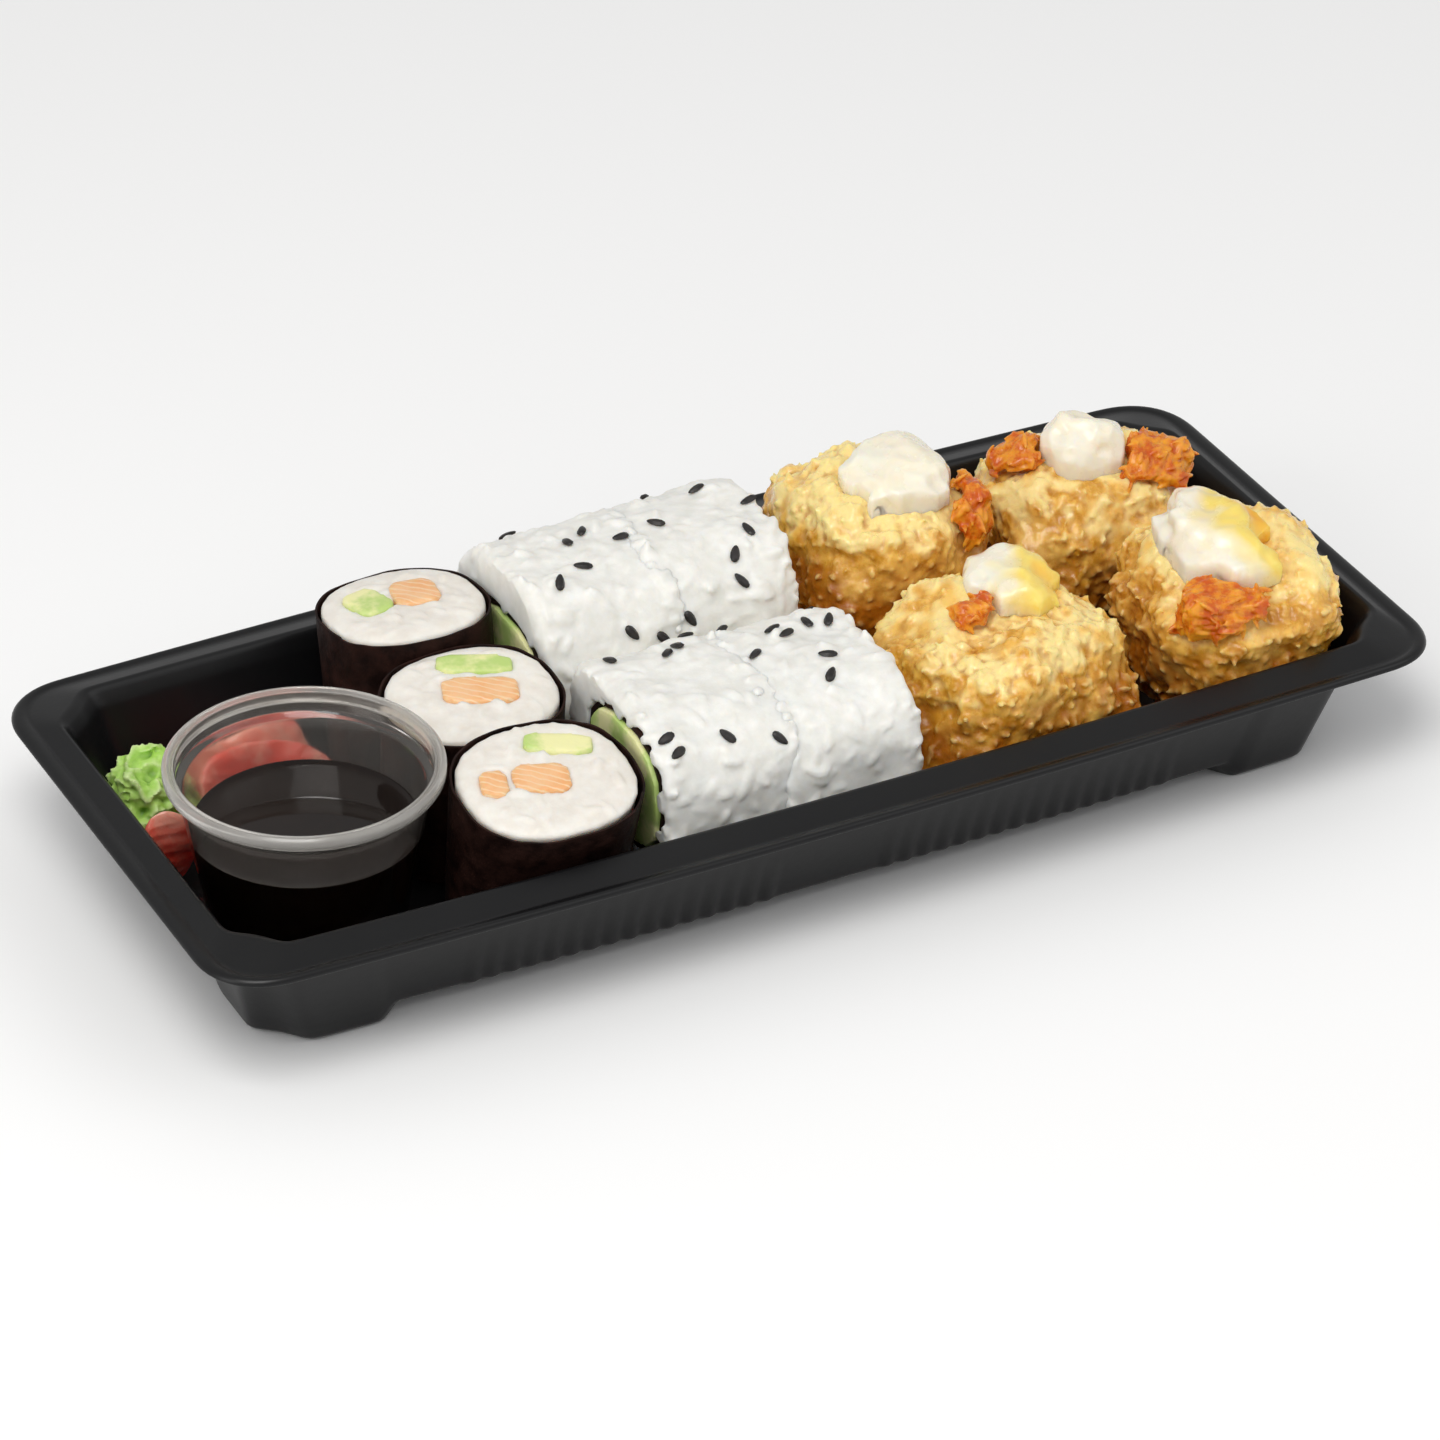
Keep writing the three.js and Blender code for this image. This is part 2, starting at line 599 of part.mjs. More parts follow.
// A lumpy ball: square-shouldered, with broad lumps and finer crags.
function lumpyBall({ x, y, z, hx, hy, hz }, detail, squareness, lump, crag, seed) {
  const geometry = new THREE.IcosahedronGeometry(1, detail);
  geometry.deleteAttribute("normal");
  geometry.deleteAttribute("uv");
  const merged = mergeVertices(geometry, 1e-4);
  const position = merged.getAttribute("position");
  const d = new THREE.Vector3();
  for (let i = 0; i < position.count; i++) {
    d.fromBufferAttribute(position, i).normalize();
    const n = squareness;
    const reach = (abs(d.x) ** n + abs(d.y) ** n + abs(d.z) ** n) ** (-1 / n);
    const broad = 1 + lump * noise.noise(d.x * 1.7 + seed, d.y * 1.7 - seed, d.z * 1.7 + 3.1);
    const p = new THREE.Vector3(d.x * hx, d.y * hy, d.z * hz).multiplyScalar(reach * broad);
    const fine = crag * noise.noise(p.x / 4.4 + seed, p.y / 4.4, p.z / 4.4 + seed);
    p.addScaledVector(d, fine).add(new THREE.Vector3(x, y, z));
    position.setXYZ(i, p.x, p.y, p.z);
  }
  return merged;
}

function eachPoint(geometry, change) {
  const position = geometry.getAttribute("position");
  const p = new THREE.Vector3();
  for (let i = 0; i < position.count; i++) {
    change(p.fromBufferAttribute(position, i));
    position.setXYZ(i, p.x, p.y, p.z);
  }
  return geometry;
}

// A crumbed piece fills its room, but never goes past it.
function friedPiece({ name, x0, x1, y0, y1, top, seed }) {
  const middle = { x: (x0 + x1) / 2, y: (y0 + y1) / 2, z: (REST + top) / 2 };
  const half = { hx: (x1 - x0) / 2, hy: (y1 - y0) / 2, hz: (top - REST) / 2 };
  const body = lumpyBall({ ...middle, ...half }, FRIED_DETAIL, FRIED_SQUARENESS, 0.12, CRAG, seed);
  const kept = eachPoint(body, (p) => {
    p.x = max(x0, min(x1, p.x));
    p.y = max(y0, min(y1, p.y));
    keepInside(p);
  });
  solids.set(name, kept);
  place(name, kept, "fried");
}

// A topping is cut to the surface it lies on, and clear of the toppings beside it.
function topping(dollop, finish, squareness, lump, crag, neighbours) {
  const body = lumpyBall(dollop, 2, squareness, lump, crag, dollop.x);
  const under = solids.get(dollop.on).clone().translate(0, 0, GAP);
  const beside = neighbours.map(({ x, y, z, name }) => {
    const grow = 1.08;
    return solids.get(name).clone().translate(-x, -y, -z).scale(grow, grow, grow).translate(x, y, z);
  });
  solids.set(dollop.name, body);
  place(dollop.name, cutAway(body, [under, ...beside]), finish);
}

function friedPieces() {
  FRIED.forEach(friedPiece);
  MAYONNAISE.forEach((dollop) => topping(dollop, "mayonnaise", 2.1, 0.3, 1.0, []));
  const mayonnaiseOn = (piece) => MAYONNAISE.filter((m) => m.on === piece);
  CRAB.forEach((flake) => topping(flake, "crab", 2.2, 0.3, 1.2, mayonnaiseOn(flake.on)));
}

// ---- wasabi and ginger ----
function wasabi() {
  const body = lumpyBall(WASABI, 3, 2.2, 0.3, 1.6, 21);
  place("wasabi", eachPoint(body, keepInside), "wasabi");
}

// A slice is an oval sheet that curls along its length and waves at its edge.
function gingerSlice({ name, x, y, z, l, w, turn, curl }) {
  const rings = (side) =>
    [0.4, 0.78, 1].map((r) => {
      const ring = [];
      for (let i = 0; i < 14; i++) {
        const angle = (i / 14) * 2 * PI;
        const [u, v] = superellipse(angle, (l / 2) * r, (w / 2) * r, 2.3);
        const wave = 0.9 * r * r * sin(3 * angle + x) + curl * 3 * (u / l) ** 2 * 4;
        const thick = side * (GINGER_THICK / 2) * (r === 1 ? 0.55 : 1);
        ring.push(new THREE.Vector3(u, v, wave + thick));
      }
      return ring;
    });
  const top = rings(1);
  const bottom = rings(-1).reverse();
  const geometry = skin([...top, ...bottom], new THREE.Vector3(0, 0, GINGER_THICK / 2), new THREE.Vector3(0, 0, -GINGER_THICK / 2));
  geometry.rotateX(rad(turn[0])).rotateY(rad(turn[1])).rotateZ(rad(turn[2]));
  geometry.translate(x, y, z);
  place(name, eachPoint(geometry, keepInside), "ginger");
}

tray();
cupAndSauce();
NORI_ROLLS.forEach(noriRoll);
RICE_ROLLS.forEach(riceRoll);
friedPieces();
wasabi();
GINGER.forEach(gingerSlice);

export default part;
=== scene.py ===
"""A takeaway sushi tray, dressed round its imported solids.

All sizes are in metres in the frame of the solids: X runs along the tray from the sauce cup to the fried
pieces, Y from its front to its back and Z up, and the origin is on the surface that the tray stands on.
"""

import logging
import math
from dataclasses import dataclass, field
from enum import Enum

import bmesh
import bpy
import numpy as np
from mathutils import Matrix, Vector, noise


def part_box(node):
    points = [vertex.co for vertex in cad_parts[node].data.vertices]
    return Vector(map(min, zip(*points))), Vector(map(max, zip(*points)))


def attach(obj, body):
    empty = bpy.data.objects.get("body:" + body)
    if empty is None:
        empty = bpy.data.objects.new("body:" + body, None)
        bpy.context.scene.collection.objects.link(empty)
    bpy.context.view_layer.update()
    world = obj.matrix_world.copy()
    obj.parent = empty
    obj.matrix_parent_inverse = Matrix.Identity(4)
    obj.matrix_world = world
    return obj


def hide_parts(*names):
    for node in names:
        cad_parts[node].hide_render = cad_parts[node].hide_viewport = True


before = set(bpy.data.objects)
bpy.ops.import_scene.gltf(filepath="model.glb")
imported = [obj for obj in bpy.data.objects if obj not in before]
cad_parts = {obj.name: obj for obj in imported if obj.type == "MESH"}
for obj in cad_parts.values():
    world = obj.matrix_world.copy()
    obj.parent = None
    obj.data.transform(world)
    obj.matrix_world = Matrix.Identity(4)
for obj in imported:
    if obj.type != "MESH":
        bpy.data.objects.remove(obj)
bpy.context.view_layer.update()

MM = 0.001
BODY = "root"

logging.basicConfig(level=logging.INFO, format="%(message)s")
LOG = logging.getLogger("sushi_tray")

Piece = bpy.types.Object
Tree = bpy.types.NodeTree
Node = bpy.types.Node
Socket = bpy.types.NodeSocket
Colour = tuple[float, float, float]
Point = tuple[float, float, float]


# ---- node helpers --------------------------------------------------------------------------------------


def add_node(tree: Tree, kind: str, inputs: dict | None = None, **settings) -> Node:
    """Adds a shader node.

    Args:
        tree: The node tree that gets it.
        kind: The node's type name.
        inputs: Names or numbers of inputs with a constant, or with the output socket that feeds them.
        settings: Attributes of the node.

    Returns:
        The new node.
    """
    made = tree.nodes.new(kind)
    for key, value in settings.items():
        setattr(made, key, value)
    for key, value in (inputs or {}).items():
        if isinstance(value, Socket):
            tree.links.new(value, made.inputs[key])
        else:
            made.inputs[key].default_value = value
    return made


def rgba(colour: Colour) -> tuple[float, float, float, float]:
    """Gives a linear colour its alpha.

    Args:
        colour: Red, green and blue.

    Returns:
        The colour with alpha 1.
    """
    return (*colour, 1.0)


def mix_colours(tree: Tree, factor: Socket, first: Socket, second: Socket | Colour) -> Socket:
    """Mixes two colours.

    Args:
        tree: The node tree.
        factor: How much of the second shows.
        first: One colour's socket.
        second: The other colour or its socket.

    Returns:
        The mixed colour's socket.
    """
    made = add_node(tree, "ShaderNodeMix", {0: factor, 6: first}, data_type="RGBA")
    if isinstance(second, Socket):
        tree.links.new(second, made.inputs[7])
    else:
        made.inputs[7].default_value = rgba(second)
    return made.outputs[2]


def new_group(name: str, inputs: dict[str, str], outputs: dict[str, str]) -> tuple[Tree, Node, Node]:
    """Starts a shader node group with named inputs and outputs.

    Args:
        name: The group's name.
        inputs: Input names with their kind of socket.
        outputs: Output names with their kind of socket.

    Returns:
        The group, its input node and its output node.
    """
    group = bpy.data.node_groups.new(name, "ShaderNodeTree")
    for way, sockets in (("INPUT", inputs), ("OUTPUT", outputs)):
        for label, kind in sockets.items():
            group.interface.new_socket(label, in_out=way, socket_type=f"NodeSocket{kind}")
    return group, group.nodes.new("NodeGroupInput"), group.nodes.new("NodeGroupOutput")


def make_mottle_group() -> Tree:
    """Builds the group that clouds one colour into another.

    Returns:
        The group: Place, Scale, Spread, First and Second in, Color and Value out.
    """
    group, source, sink = new_group(
        "mottle",
        {"Place": "Vector", "Scale": "Float", "Spread": "Float", "First": "Color", "Second": "Color"},
        {"Color": "Color", "Value": "Float"},
    )
    given = source.outputs
    cloud = add_node(
        group,
        "ShaderNodeTexNoise",
        {"Vector": given["Place"], "Scale": given["Scale"], "Detail": 4.0, "Roughness": 0.6},
    )
    low, high = (
        add_node(group, "ShaderNodeMath", {0: 0.5, 1: given["Spread"]}, operation=way).outputs[0]
        for way in ("SUBTRACT", "ADD")
    )
    share = add_node(
        group,
        "ShaderNodeMapRange",
        {"Value": cloud.outputs["Fac"], "From Min": low, "From Max": high},
        interpolation_type="SMOOTHSTEP",
    )
    colour = mix_colours(group, share.outputs[0], given["First"], given["Second"])
    group.links.new(colour, sink.inputs["Color"])
    group.links.new(share.outputs[0], sink.inputs["Value"])
    return group


FINE_SHARE = 0.35


def make_relief_group() -> Tree:
    """Builds the group that gives a surface fine relief of two sizes.

    Returns:
        The group: Place, Coarse, Fine and Depth in, Normal out.
    """
    group, source, sink = new_group(
        "relief",
        {"Place": "Vector", "Coarse": "Float", "Fine": "Float", "Depth": "Float"},
        {"Normal": "Vector"},
    )
    given = source.outputs
    coarse, fine = (
        add_node(
            group,
            "ShaderNodeTexNoise",
            {"Vector": given["Place"], "Scale": given[label], "Detail": 3.0},
        ).outputs["Fac"]
        for label in ("Coarse", "Fine")
    )
    shallow = add_node(group, "ShaderNodeMath", {0: fine, 1: FINE_SHARE}, operation="MULTIPLY")
    total = add_node(group, "ShaderNodeMath", {0: coarse, 1: shallow.outputs[0]}, operation="ADD")
    bump = add_node(
        group,
        "ShaderNodeBump",
        {"Height": total.outputs[0], "Distance": given["Depth"], "Strength": 1.0},
    )
    group.links.new(bump.outputs["Normal"], sink.inputs["Normal"])
    return group


MOTTLE = make_mottle_group()
RELIEF = make_relief_group()


# ---- finishes ------------------------------------------------------------------------------------------


@dataclass(frozen=True)
class Tint:
    """A colour that comes in with a number kept on the points.

    Attributes:
        attribute: The number's name.
        start: The number where the tint starts.
        full: The number where it covers.
        colour: Its colour, linear.
    """

    attribute: str
    start: float
    full: float
    colour: Colour


@dataclass(frozen=True)
class Finish:
    """How a surface looks: two colours that cloud into each other, its gloss and its fine relief.

    Attributes:
        name: The material's name.
        first: One colour, linear.
        second: The other colour, linear.
        scale: How fine the clouding is, per metre.
        spread: How softly the colours meet.
        roughness: Least and greatest roughness.
        coarse: Scale of the coarse relief, per metre.
        fine: Scale of the fine relief, per metre.
        depth: Depth of the relief in metres.
        specular: The shader's specular level.
        glow: How much light enters and spreads under the surface.
        glow_reach: How far that light spreads, in metres, for red, green and blue.
        coat: Weight of a clear wet coat.
        coat_roughness: Roughness of that coat.
        tints: Colours laid over the clouding one after the other.
    """

    name: str
    first: Colour
    second: Colour
    scale: float = 200.0
    spread: float = 0.15
    roughness: tuple[float, float] = (0.4, 0.5)
    coarse: float = 300.0
    fine: float = 1500.0
    depth: float = 0.0001
    specular: float = 0.5
    glow: float = 0.0
    glow_reach: Colour = (0.002, 0.0015, 0.001)
    coat: float = 0.0
    coat_roughness: float = 0.12
    tints: tuple[Tint, ...] = ()

    def colour(self, tree: Tree, place: Socket, cloud: Socket) -> Socket:
        """Gives the surface's colour.

        Args:
            tree: The material's nodes.
            place: The point on the piece.
            cloud: The clouding of the two colours.

        Returns:
            The colour socket.
        """
        for tint in self.tints:
            number = add_node(tree, "ShaderNodeAttribute", attribute_name=tint.attribute).outputs["Fac"]
            share = add_node(
                tree, "ShaderNodeMapRange", {"Value": number, "From Min": tint.start, "From Max": tint.full}
            )
            cloud = mix_colours(tree, share.outputs[0], cloud, tint.colour)
        return cloud

    def build(self) -> bpy.types.Material:
        """Builds the material.

        Returns:
            The material.
        """
        material = bpy.data.materials.new(self.name)
        material.use_nodes = True
        tree = material.node_tree
        tree.nodes.clear()
        place = add_node(tree, "ShaderNodeTexCoord").outputs["Object"]
        colours = {"First": rgba(self.first), "Second": rgba(self.second)}
        mottle = add_node(
            tree,
            "ShaderNodeGroup",
            {"Place": place, "Scale": self.scale, "Spread": self.spread, **colours},
            node_tree=MOTTLE,
        )
        relief = add_node(
            tree,
            "ShaderNodeGroup",
            {"Place": place, "Coarse": self.coarse, "Fine": self.fine, "Depth": self.depth},
            node_tree=RELIEF,
        )
        gloss = add_node(
            tree,
            "ShaderNodeMapRange",
            {"Value": mottle.outputs["Value"], "To Min": self.roughness[0], "To Max": self.roughness[1]},
        )
        shader = add_node(
            tree,
            "ShaderNodeBsdfPrincipled",
            {
                "Base Color": self.colour(tree, place, mottle.outputs["Color"]),
                "Roughness": gloss.outputs[0],
                "Specular IOR Level": self.specular,
                "Coat Weight": self.coat,
                "Coat Roughness": self.coat_roughness,
                "Normal": relief.outputs["Normal"],
            },
        )
        if self.glow:
            shader.subsurface_method = "RANDOM_WALK"
            shader.inputs["Subsurface Weight"].default_value = self.glow
            shader.inputs["Subsurface Radius"].default_value = self.glow_reach
            shader.inputs["Subsurface Scale"].default_value = 1.0
        self.adjust(shader)
        output = add_node(tree, "ShaderNodeOutputMaterial")
        tree.links.new(shader.outputs["BSDF"], output.inputs["Surface"])
        return material

    def adjust(self, shader: Node) -> None:
        """Sets what a special finish changes on the shader."""


@dataclass(frozen=True)
class StripedFinish(Finish):
    """Raw fish: orange flesh with thin pale lines of fat.

    Attributes:
        line: The lines' colour.
        pitch: How close they lie, per metre.
        width: Their share of that distance.
    """

    line: Colour = (0.91, 0.62, 0.38)
    pitch: float = 330.0
    width: float = 0.28

    def colour(self, tree: Tree, place: Socket, cloud: Socket) -> Socket:
        """Gives the flesh its wavy pale lines.

        Args:
            tree: The material's nodes.
            place: The point on the piece.
            cloud: The clouding of the two colours.

        Returns:
            The colour socket.
        """
        wave = add_node(
            tree,
            "ShaderNodeTexWave",
            {"Vector": place, "Scale": self.pitch, "Distortion": 3.0, "Detail": 2.0, "Detail Scale": 1.2},
            bands_direction="DIAGONAL",
        )
        share = add_node(
            tree,
            "ShaderNodeMapRange",
            {"Value": wave.outputs["Fac"], "From Min": 1.0 - self.width, "From Max": 1.0},
        )
        return mix_colours(tree, share.outputs[0], cloud, self.line)


@dataclass(frozen=True)
class ClearFinish(Finish):
    """Clear thermoformed plastic.

    Attributes:
        clearness: How much light it lets through.
        ior: How strongly it bends that light.
    """

    scale: float = 90.0
    spread: float = 0.3
    coarse: float = 200.0
    fine: float = 900.0
    depth: float = 0.00001
    clearness: float = 1.0
    ior: float = 1.46

    def adjust(self, shader: Node) -> None:
        """Lets the light through."""
        shader.inputs["Transmission Weight"].default_value = self.clearness
        shader.inputs["IOR"].default_value = self.ior


@dataclass(frozen=True)
class RiceFinish(Finish):
    """Moist cooked rice."""

    scale: float = 300.0
    spread: float = 0.25
    roughness: tuple[float, float] = (0.38, 0.55)
    coarse: float = 500.0
    fine: float = 2500.0
    depth: float = 0.00006
    glow: float = 0.55
    glow_reach: Colour = (0.0018, 0.0015, 0.0012)


class Finishes(Enum):
    """Every finish of the tray and its food."""

    TRAY = Finish(
        "black_tray_plastic", (0.0035, 0.0035, 0.004), (0.005, 0.005, 0.0055), scale=40.0, spread=0.3,
        roughness=(0.30, 0.38), coarse=120.0, fine=900.0, depth=0.00004, specular=0.36,
    )
    CUP = ClearFinish(
        "clear_cup_plastic", (0.84, 0.78, 0.72), (0.90, 0.86, 0.81), roughness=(0.07, 0.12),
        clearness=0.945,
    )
    CUP_LIP = ClearFinish(
        "clear_cup_lip", (0.74, 0.71, 0.66), (0.84, 0.82, 0.78), roughness=(0.14, 0.22), clearness=0.7,
    )
    # The wall and bottom below the sauce level get a clearer, less hazy copy of the plastic, so that they
    # read darker: painted shade.
    CUP_FOOT = ClearFinish(
        "clear_cup_foot", (0.90, 0.86, 0.82), (0.94, 0.92, 0.89), roughness=(0.04, 0.07),
    )
    SOY = Finish(
        "soy_sauce", (0.006, 0.003, 0.002), (0.012, 0.006, 0.004), scale=60.0, spread=0.3,
        roughness=(0.04, 0.06), coarse=25.0, fine=60.0, depth=0.00002, specular=0.3,
    )
    NORI = Finish(
        "nori_sheet", (0.006, 0.002, 0.0015), (0.026, 0.009, 0.006), scale=260.0, spread=0.2,
        roughness=(0.5, 0.7), coarse=500.0, fine=2500.0, depth=0.0002, specular=0.16,
    )
    RICE = RiceFinish(
        "cooked_rice", (0.78, 0.77, 0.72), (0.88, 0.87, 0.83),
    )
    ROLL_RICE = RiceFinish(
        "cooked_rice_cut", (0.78, 0.73, 0.66), (0.86, 0.83, 0.77),
    )
    SESAME = Finish(
        "black_sesame", (0.006, 0.005, 0.005), (0.02, 0.016, 0.014), scale=900.0, spread=0.2,
        roughness=(0.35, 0.5), coarse=2500.0, fine=6000.0, depth=0.00005,
    )
    AVOCADO = Finish(
        "avocado_flesh", (0.50, 0.66, 0.20), (0.84, 0.82, 0.42), scale=130.0, spread=0.10, coarse=350.0,
        fine=1800.0, depth=0.00008, glow=0.3, glow_reach=(0.001, 0.001, 0.0004),
    )
    SALMON = StripedFinish(
        "salmon_flesh", (0.86, 0.42, 0.17), (0.90, 0.54, 0.28), scale=220.0, spread=0.2,
        roughness=(0.3, 0.42), coarse=350.0, fine=1800.0, depth=0.00006, glow=0.4,
        glow_reach=(0.002, 0.0009, 0.0005), coat=0.2,
    )
    FRIED = Finish(
        "fried_crumb", (0.62, 0.28, 0.022), (0.88, 0.52, 0.10), scale=420.0, spread=0.16,
        roughness=(0.2, 0.36), coarse=1300.0, fine=3200.0, depth=0.00009, specular=0.4, glow=0.35,
        glow_reach=(0.0022, 0.0011, 0.0003), coat=0.16,
        tints=(
            Tint("batter", 0.35, 1.1, (0.92, 0.60, 0.16)),
            # Paler toward the top: painted light.
            Tint("toast", 0.05, -0.35, (1.0, 0.80, 0.34)),
            # Browner toward the foot: painted shade, with the crumb's own random patches of brown.
            Tint("toast", 0.2, 1.0, (0.42, 0.13, 0.007)),
            # Paler on the crests: painted highlight.
            Tint("crag", 0.6, 1.2, (1.0, 0.79, 0.34)),
            # Darker brown in the crevices: painted shade.
            Tint("crag", 0.44, 0.05, (0.40, 0.11, 0.004)),
        ),
    )
    MAYONNAISE = Finish(
        "mayonnaise_dollop", (0.93, 0.83, 0.66), (0.95, 0.89, 0.76), scale=120.0, spread=0.2,
        roughness=(0.22, 0.34), coarse=160.0, fine=900.0, depth=0.00004, glow=0.7,
        glow_reach=(0.003, 0.0024, 0.0014), coat=0.2,
        tints=(
            Tint("yolk", 0.0, 0.9, (0.98, 0.72, 0.17)),
            Tint("yolk", 1.2, 2.4, (0.94, 0.46, 0.03)),
        ),
    )
    CRAB = Finish(
        "crab_flakes", (0.60, 0.10, 0.004), (0.84, 0.34, 0.018), scale=320.0, spread=0.14,
        roughness=(0.22, 0.36), coarse=700.0, fine=2500.0, specular=0.4, glow=0.35,
        glow_reach=(0.002, 0.0008, 0.0002), coat=0.15,
        tints=(
            # Darker in the crevices: painted shade.
            Tint("crag", 0.42, 0.0, (0.40, 0.04, 0.003)),
            # Paler orange on the crests: painted highlight.
            Tint("crag", 0.62, 1.2, (1.0, 0.54, 0.10)),
        ),
    )
    WASABI = Finish(
        "wasabi_paste", (0.38, 0.66, 0.10), (0.52, 0.78, 0.20), scale=420.0, spread=0.16,
        roughness=(0.4, 0.55), coarse=700.0, fine=2600.0, depth=0.00012, glow=0.3,
        glow_reach=(0.0008, 0.001, 0.0004),
        tints=(
            # Darker green in the crevices: painted shade.
            Tint("crag", 0.46, 0.05, (0.11, 0.26, 0.02)),
            # Paler green on the crests: painted highlight.
            Tint("crag", 0.56, 0.95, (0.66, 0.82, 0.38)),
        ),
    )
    GINGER = Finish(
        "pickled_ginger", (0.97, 0.11, 0.07), (1.0, 0.38, 0.28), scale=130.0, spread=0.16,
        roughness=(0.2, 0.32), coarse=500.0, fine=2000.0, glow=0.5, glow_reach=(0.003, 0.0008, 0.0006),
        coat=0.4,
    )

    def material(self) -> bpy.types.Material:
        """Gives this finish's material, built once."""
        return bpy.data.materials.get(self.value.name) or self.value.build()


# ---- mesh helpers --------------------------------------------------------------------------------------


def select_only(piece: Piece) -> None:
    """Deselects all else and makes a piece active.

    Args:
        piece: The piece.
    """
    bpy.ops.object.select_all(action="DESELECT")
    piece.select_set(True)
    bpy.context.view_layer.objects.active = piece


def new_piece(name: str, data: bpy.types.ID) -> Piece:
    """Adds an object to the scene.

    Args:
        name: Its name.
        data: Its mesh, light or camera.

    Returns:
        The object.
    """
    piece = bpy.data.objects.new(name, data)
    bpy.context.scene.collection.objects.link(piece)
    return piece


def solid_copy(node: str, name: str) -> Piece:
    """Copies a solid into a new piece and closes its loose triangles up.

    Args:
        node: The solid's name.
        name: The new piece's name.

    Returns:
        The piece, with its place in its mesh.
    """
    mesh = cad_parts[node].data.copy()
    mesh.materials.clear()
    piece = new_piece(name, mesh)
    select_only(piece)
    bpy.ops.object.mode_set(mode="EDIT")
    bpy.ops.mesh.select_all(action="SELECT")
    bpy.ops.mesh.remove_doubles(threshold=0.00001)
    bpy.ops.mesh.customdata_custom_splitnormals_clear()
    bpy.ops.object.mode_set(mode="OBJECT")
    return piece


def apply_modifier(piece: Piece, kind: str, **settings) -> None:
    """Adds a modifier and applies it.

    Args:
        piece: The piece that it shapes.
        kind: The modifier's type.
        settings: Its attributes.
    """
    select_only(piece)
    modifier = piece.modifiers.new(kind.lower(), kind)
    for key, value in settings.items():
        setattr(modifier, key, value)
    bpy.ops.object.modifier_apply(modifier=modifier.name)


def remesh(piece: Piece, voxel: float, rounds: int = 4) -> None:
    """Gives a piece even small faces and rounds its edges off.

    Args:
        piece: The piece.
        voxel: Edge of a face in metres.
        rounds: How often it is smoothed.
    """
    apply_modifier(piece, "REMESH", mode="VOXEL", voxel_size=voxel)
    if rounds:
        apply_modifier(piece, "SMOOTH", factor=0.5, iterations=rounds)


def read_vectors(piece: Piece, name: str) -> np.ndarray:
    """Reads a vector that each point has.

    Args:
        piece: The piece.
        name: Which vector.

    Returns:
        Rows of X, Y and Z.
    """
    values = np.empty(len(piece.data.vertices) * 3, np.float32)
    piece.data.vertices.foreach_get(name, values)
    return values.reshape(-1, 3).astype(float)


def points_of(piece: Piece) -> np.ndarray:
    """Reads a piece's points as rows of X, Y and Z."""
    return read_vectors(piece, "co")


def normals_of(piece: Piece) -> np.ndarray:
    """Reads the normals at a piece's points."""
    return read_vectors(piece, "normal")


def set_points(piece: Piece, points: np.ndarray) -> None:
    """Writes a piece's points back."""
    piece.data.vertices.foreach_set("co", points.astype(np.float32).ravel())
    piece.data.update()


def keep_value(piece: Piece, name: str, values: np.ndarray) -> None:
    """Keeps one number at each point for the material to read."""
    attribute = piece.data.attributes.new(name, "FLOAT", "POINT")
    attribute.data.foreach_set("value", values.astype(np.float32))


def relaxed(piece: Piece, rounds: int) -> np.ndarray:
    """Evens a piece's points out along its edges.

    Args:
        piece: The piece, which stays as it is.
        rounds: How often they are evened out.

    Returns:
        The evened points.
    """
    points = points_of(piece)
    ends = np.empty(len(piece.data.edges) * 2, np.int32)
    piece.data.edges.foreach_get("vertices", ends)
    first, second = ends.reshape(-1, 2).T
    size = len(points)
    count = np.bincount(first, minlength=size) + np.bincount(second, minlength=size)
    for _ in range(rounds):
        total = [
            np.bincount(first, points[second, axis], size) + np.bincount(second, points[first, axis], size)
            for axis in range(3)
        ]
        points = np.stack(total, axis=1) / count[:, None]
    return points


def keep_crags(piece: Piece, reach: float, rounds: int = 14) -> None:
    """Keeps how far each point stands out of its surroundings, as "crag": 0 in a crevice, 1 on a crest; the
    materials paint shade into the crevices and highlights onto the crests by it.

    Args:
        piece: The piece.
        reach: The height from crevice to crest.
        rounds: How wide the surroundings are.
    """
    height = np.sum((points_of(piece) - relaxed(piece, rounds)) * normals_of(piece), axis=1)
    keep_value(piece, "crag", np.clip(0.5 + height / reach, 0.0, 1.0))


@dataclass(frozen=True)
class Share:
    """A share that follows a field over a surface.

    Attributes:
        start: The share where the field is 0.
        gain: How fast it grows with the field.
        least: The least share.
        most: The greatest share.
    """

    start: float
    gain: float
    least: float
    most: float

    def of(self, values: np.ndarray) -> np.ndarray:
        """Gives the share where the field has these values."""
        return np.clip(self.start + self.gain * values, self.least, self.most)


class Form(Enum):
    """How the lumps of a surface rise."""

    SWELL = "swell"
    RIDGE = "ridge"
    PEBBLE = "pebble"


@dataclass(frozen=True)
class Lumps:
    """One layer of lumps on a surface.

    Attributes:
        form: How the lumps rise.
        size: How large one is.
        depth: How high one stands.
        sunk: Share of that height that is cut in rather than raised.
        stretch: How much longer the lumps are along X, Y and Z.
    """

    form: Form
    size: float
    depth: float
    sunk: float = 0.5
    stretch: Point = (1.0, 1.0, 1.0)

    def heights(self, points: np.ndarray, seed: float) -> np.ndarray:
        """Gives the height of each point.

        Args:
            points: The points.
            seed: Moves the lumps.

        Returns:
            The heights.
        """
        shift = Vector((seed, -seed, 0.7 * seed))
        values = []
        for point in points / (self.size * np.array(self.stretch)):
            if self.form is Form.PEBBLE:
                near = noise.voronoi(Vector(point) + shift)[0]
                values.append(min(1.0, 1.5 * (near[1] - near[0])) ** 0.6)
                continue
            wave = noise.noise(Vector(point) + shift)
            values.append(0.5 + 0.5 * wave if self.form is Form.SWELL else 1.0 - 2.0 * abs(wave))
        return (np.array(values) - self.sunk) * self.depth


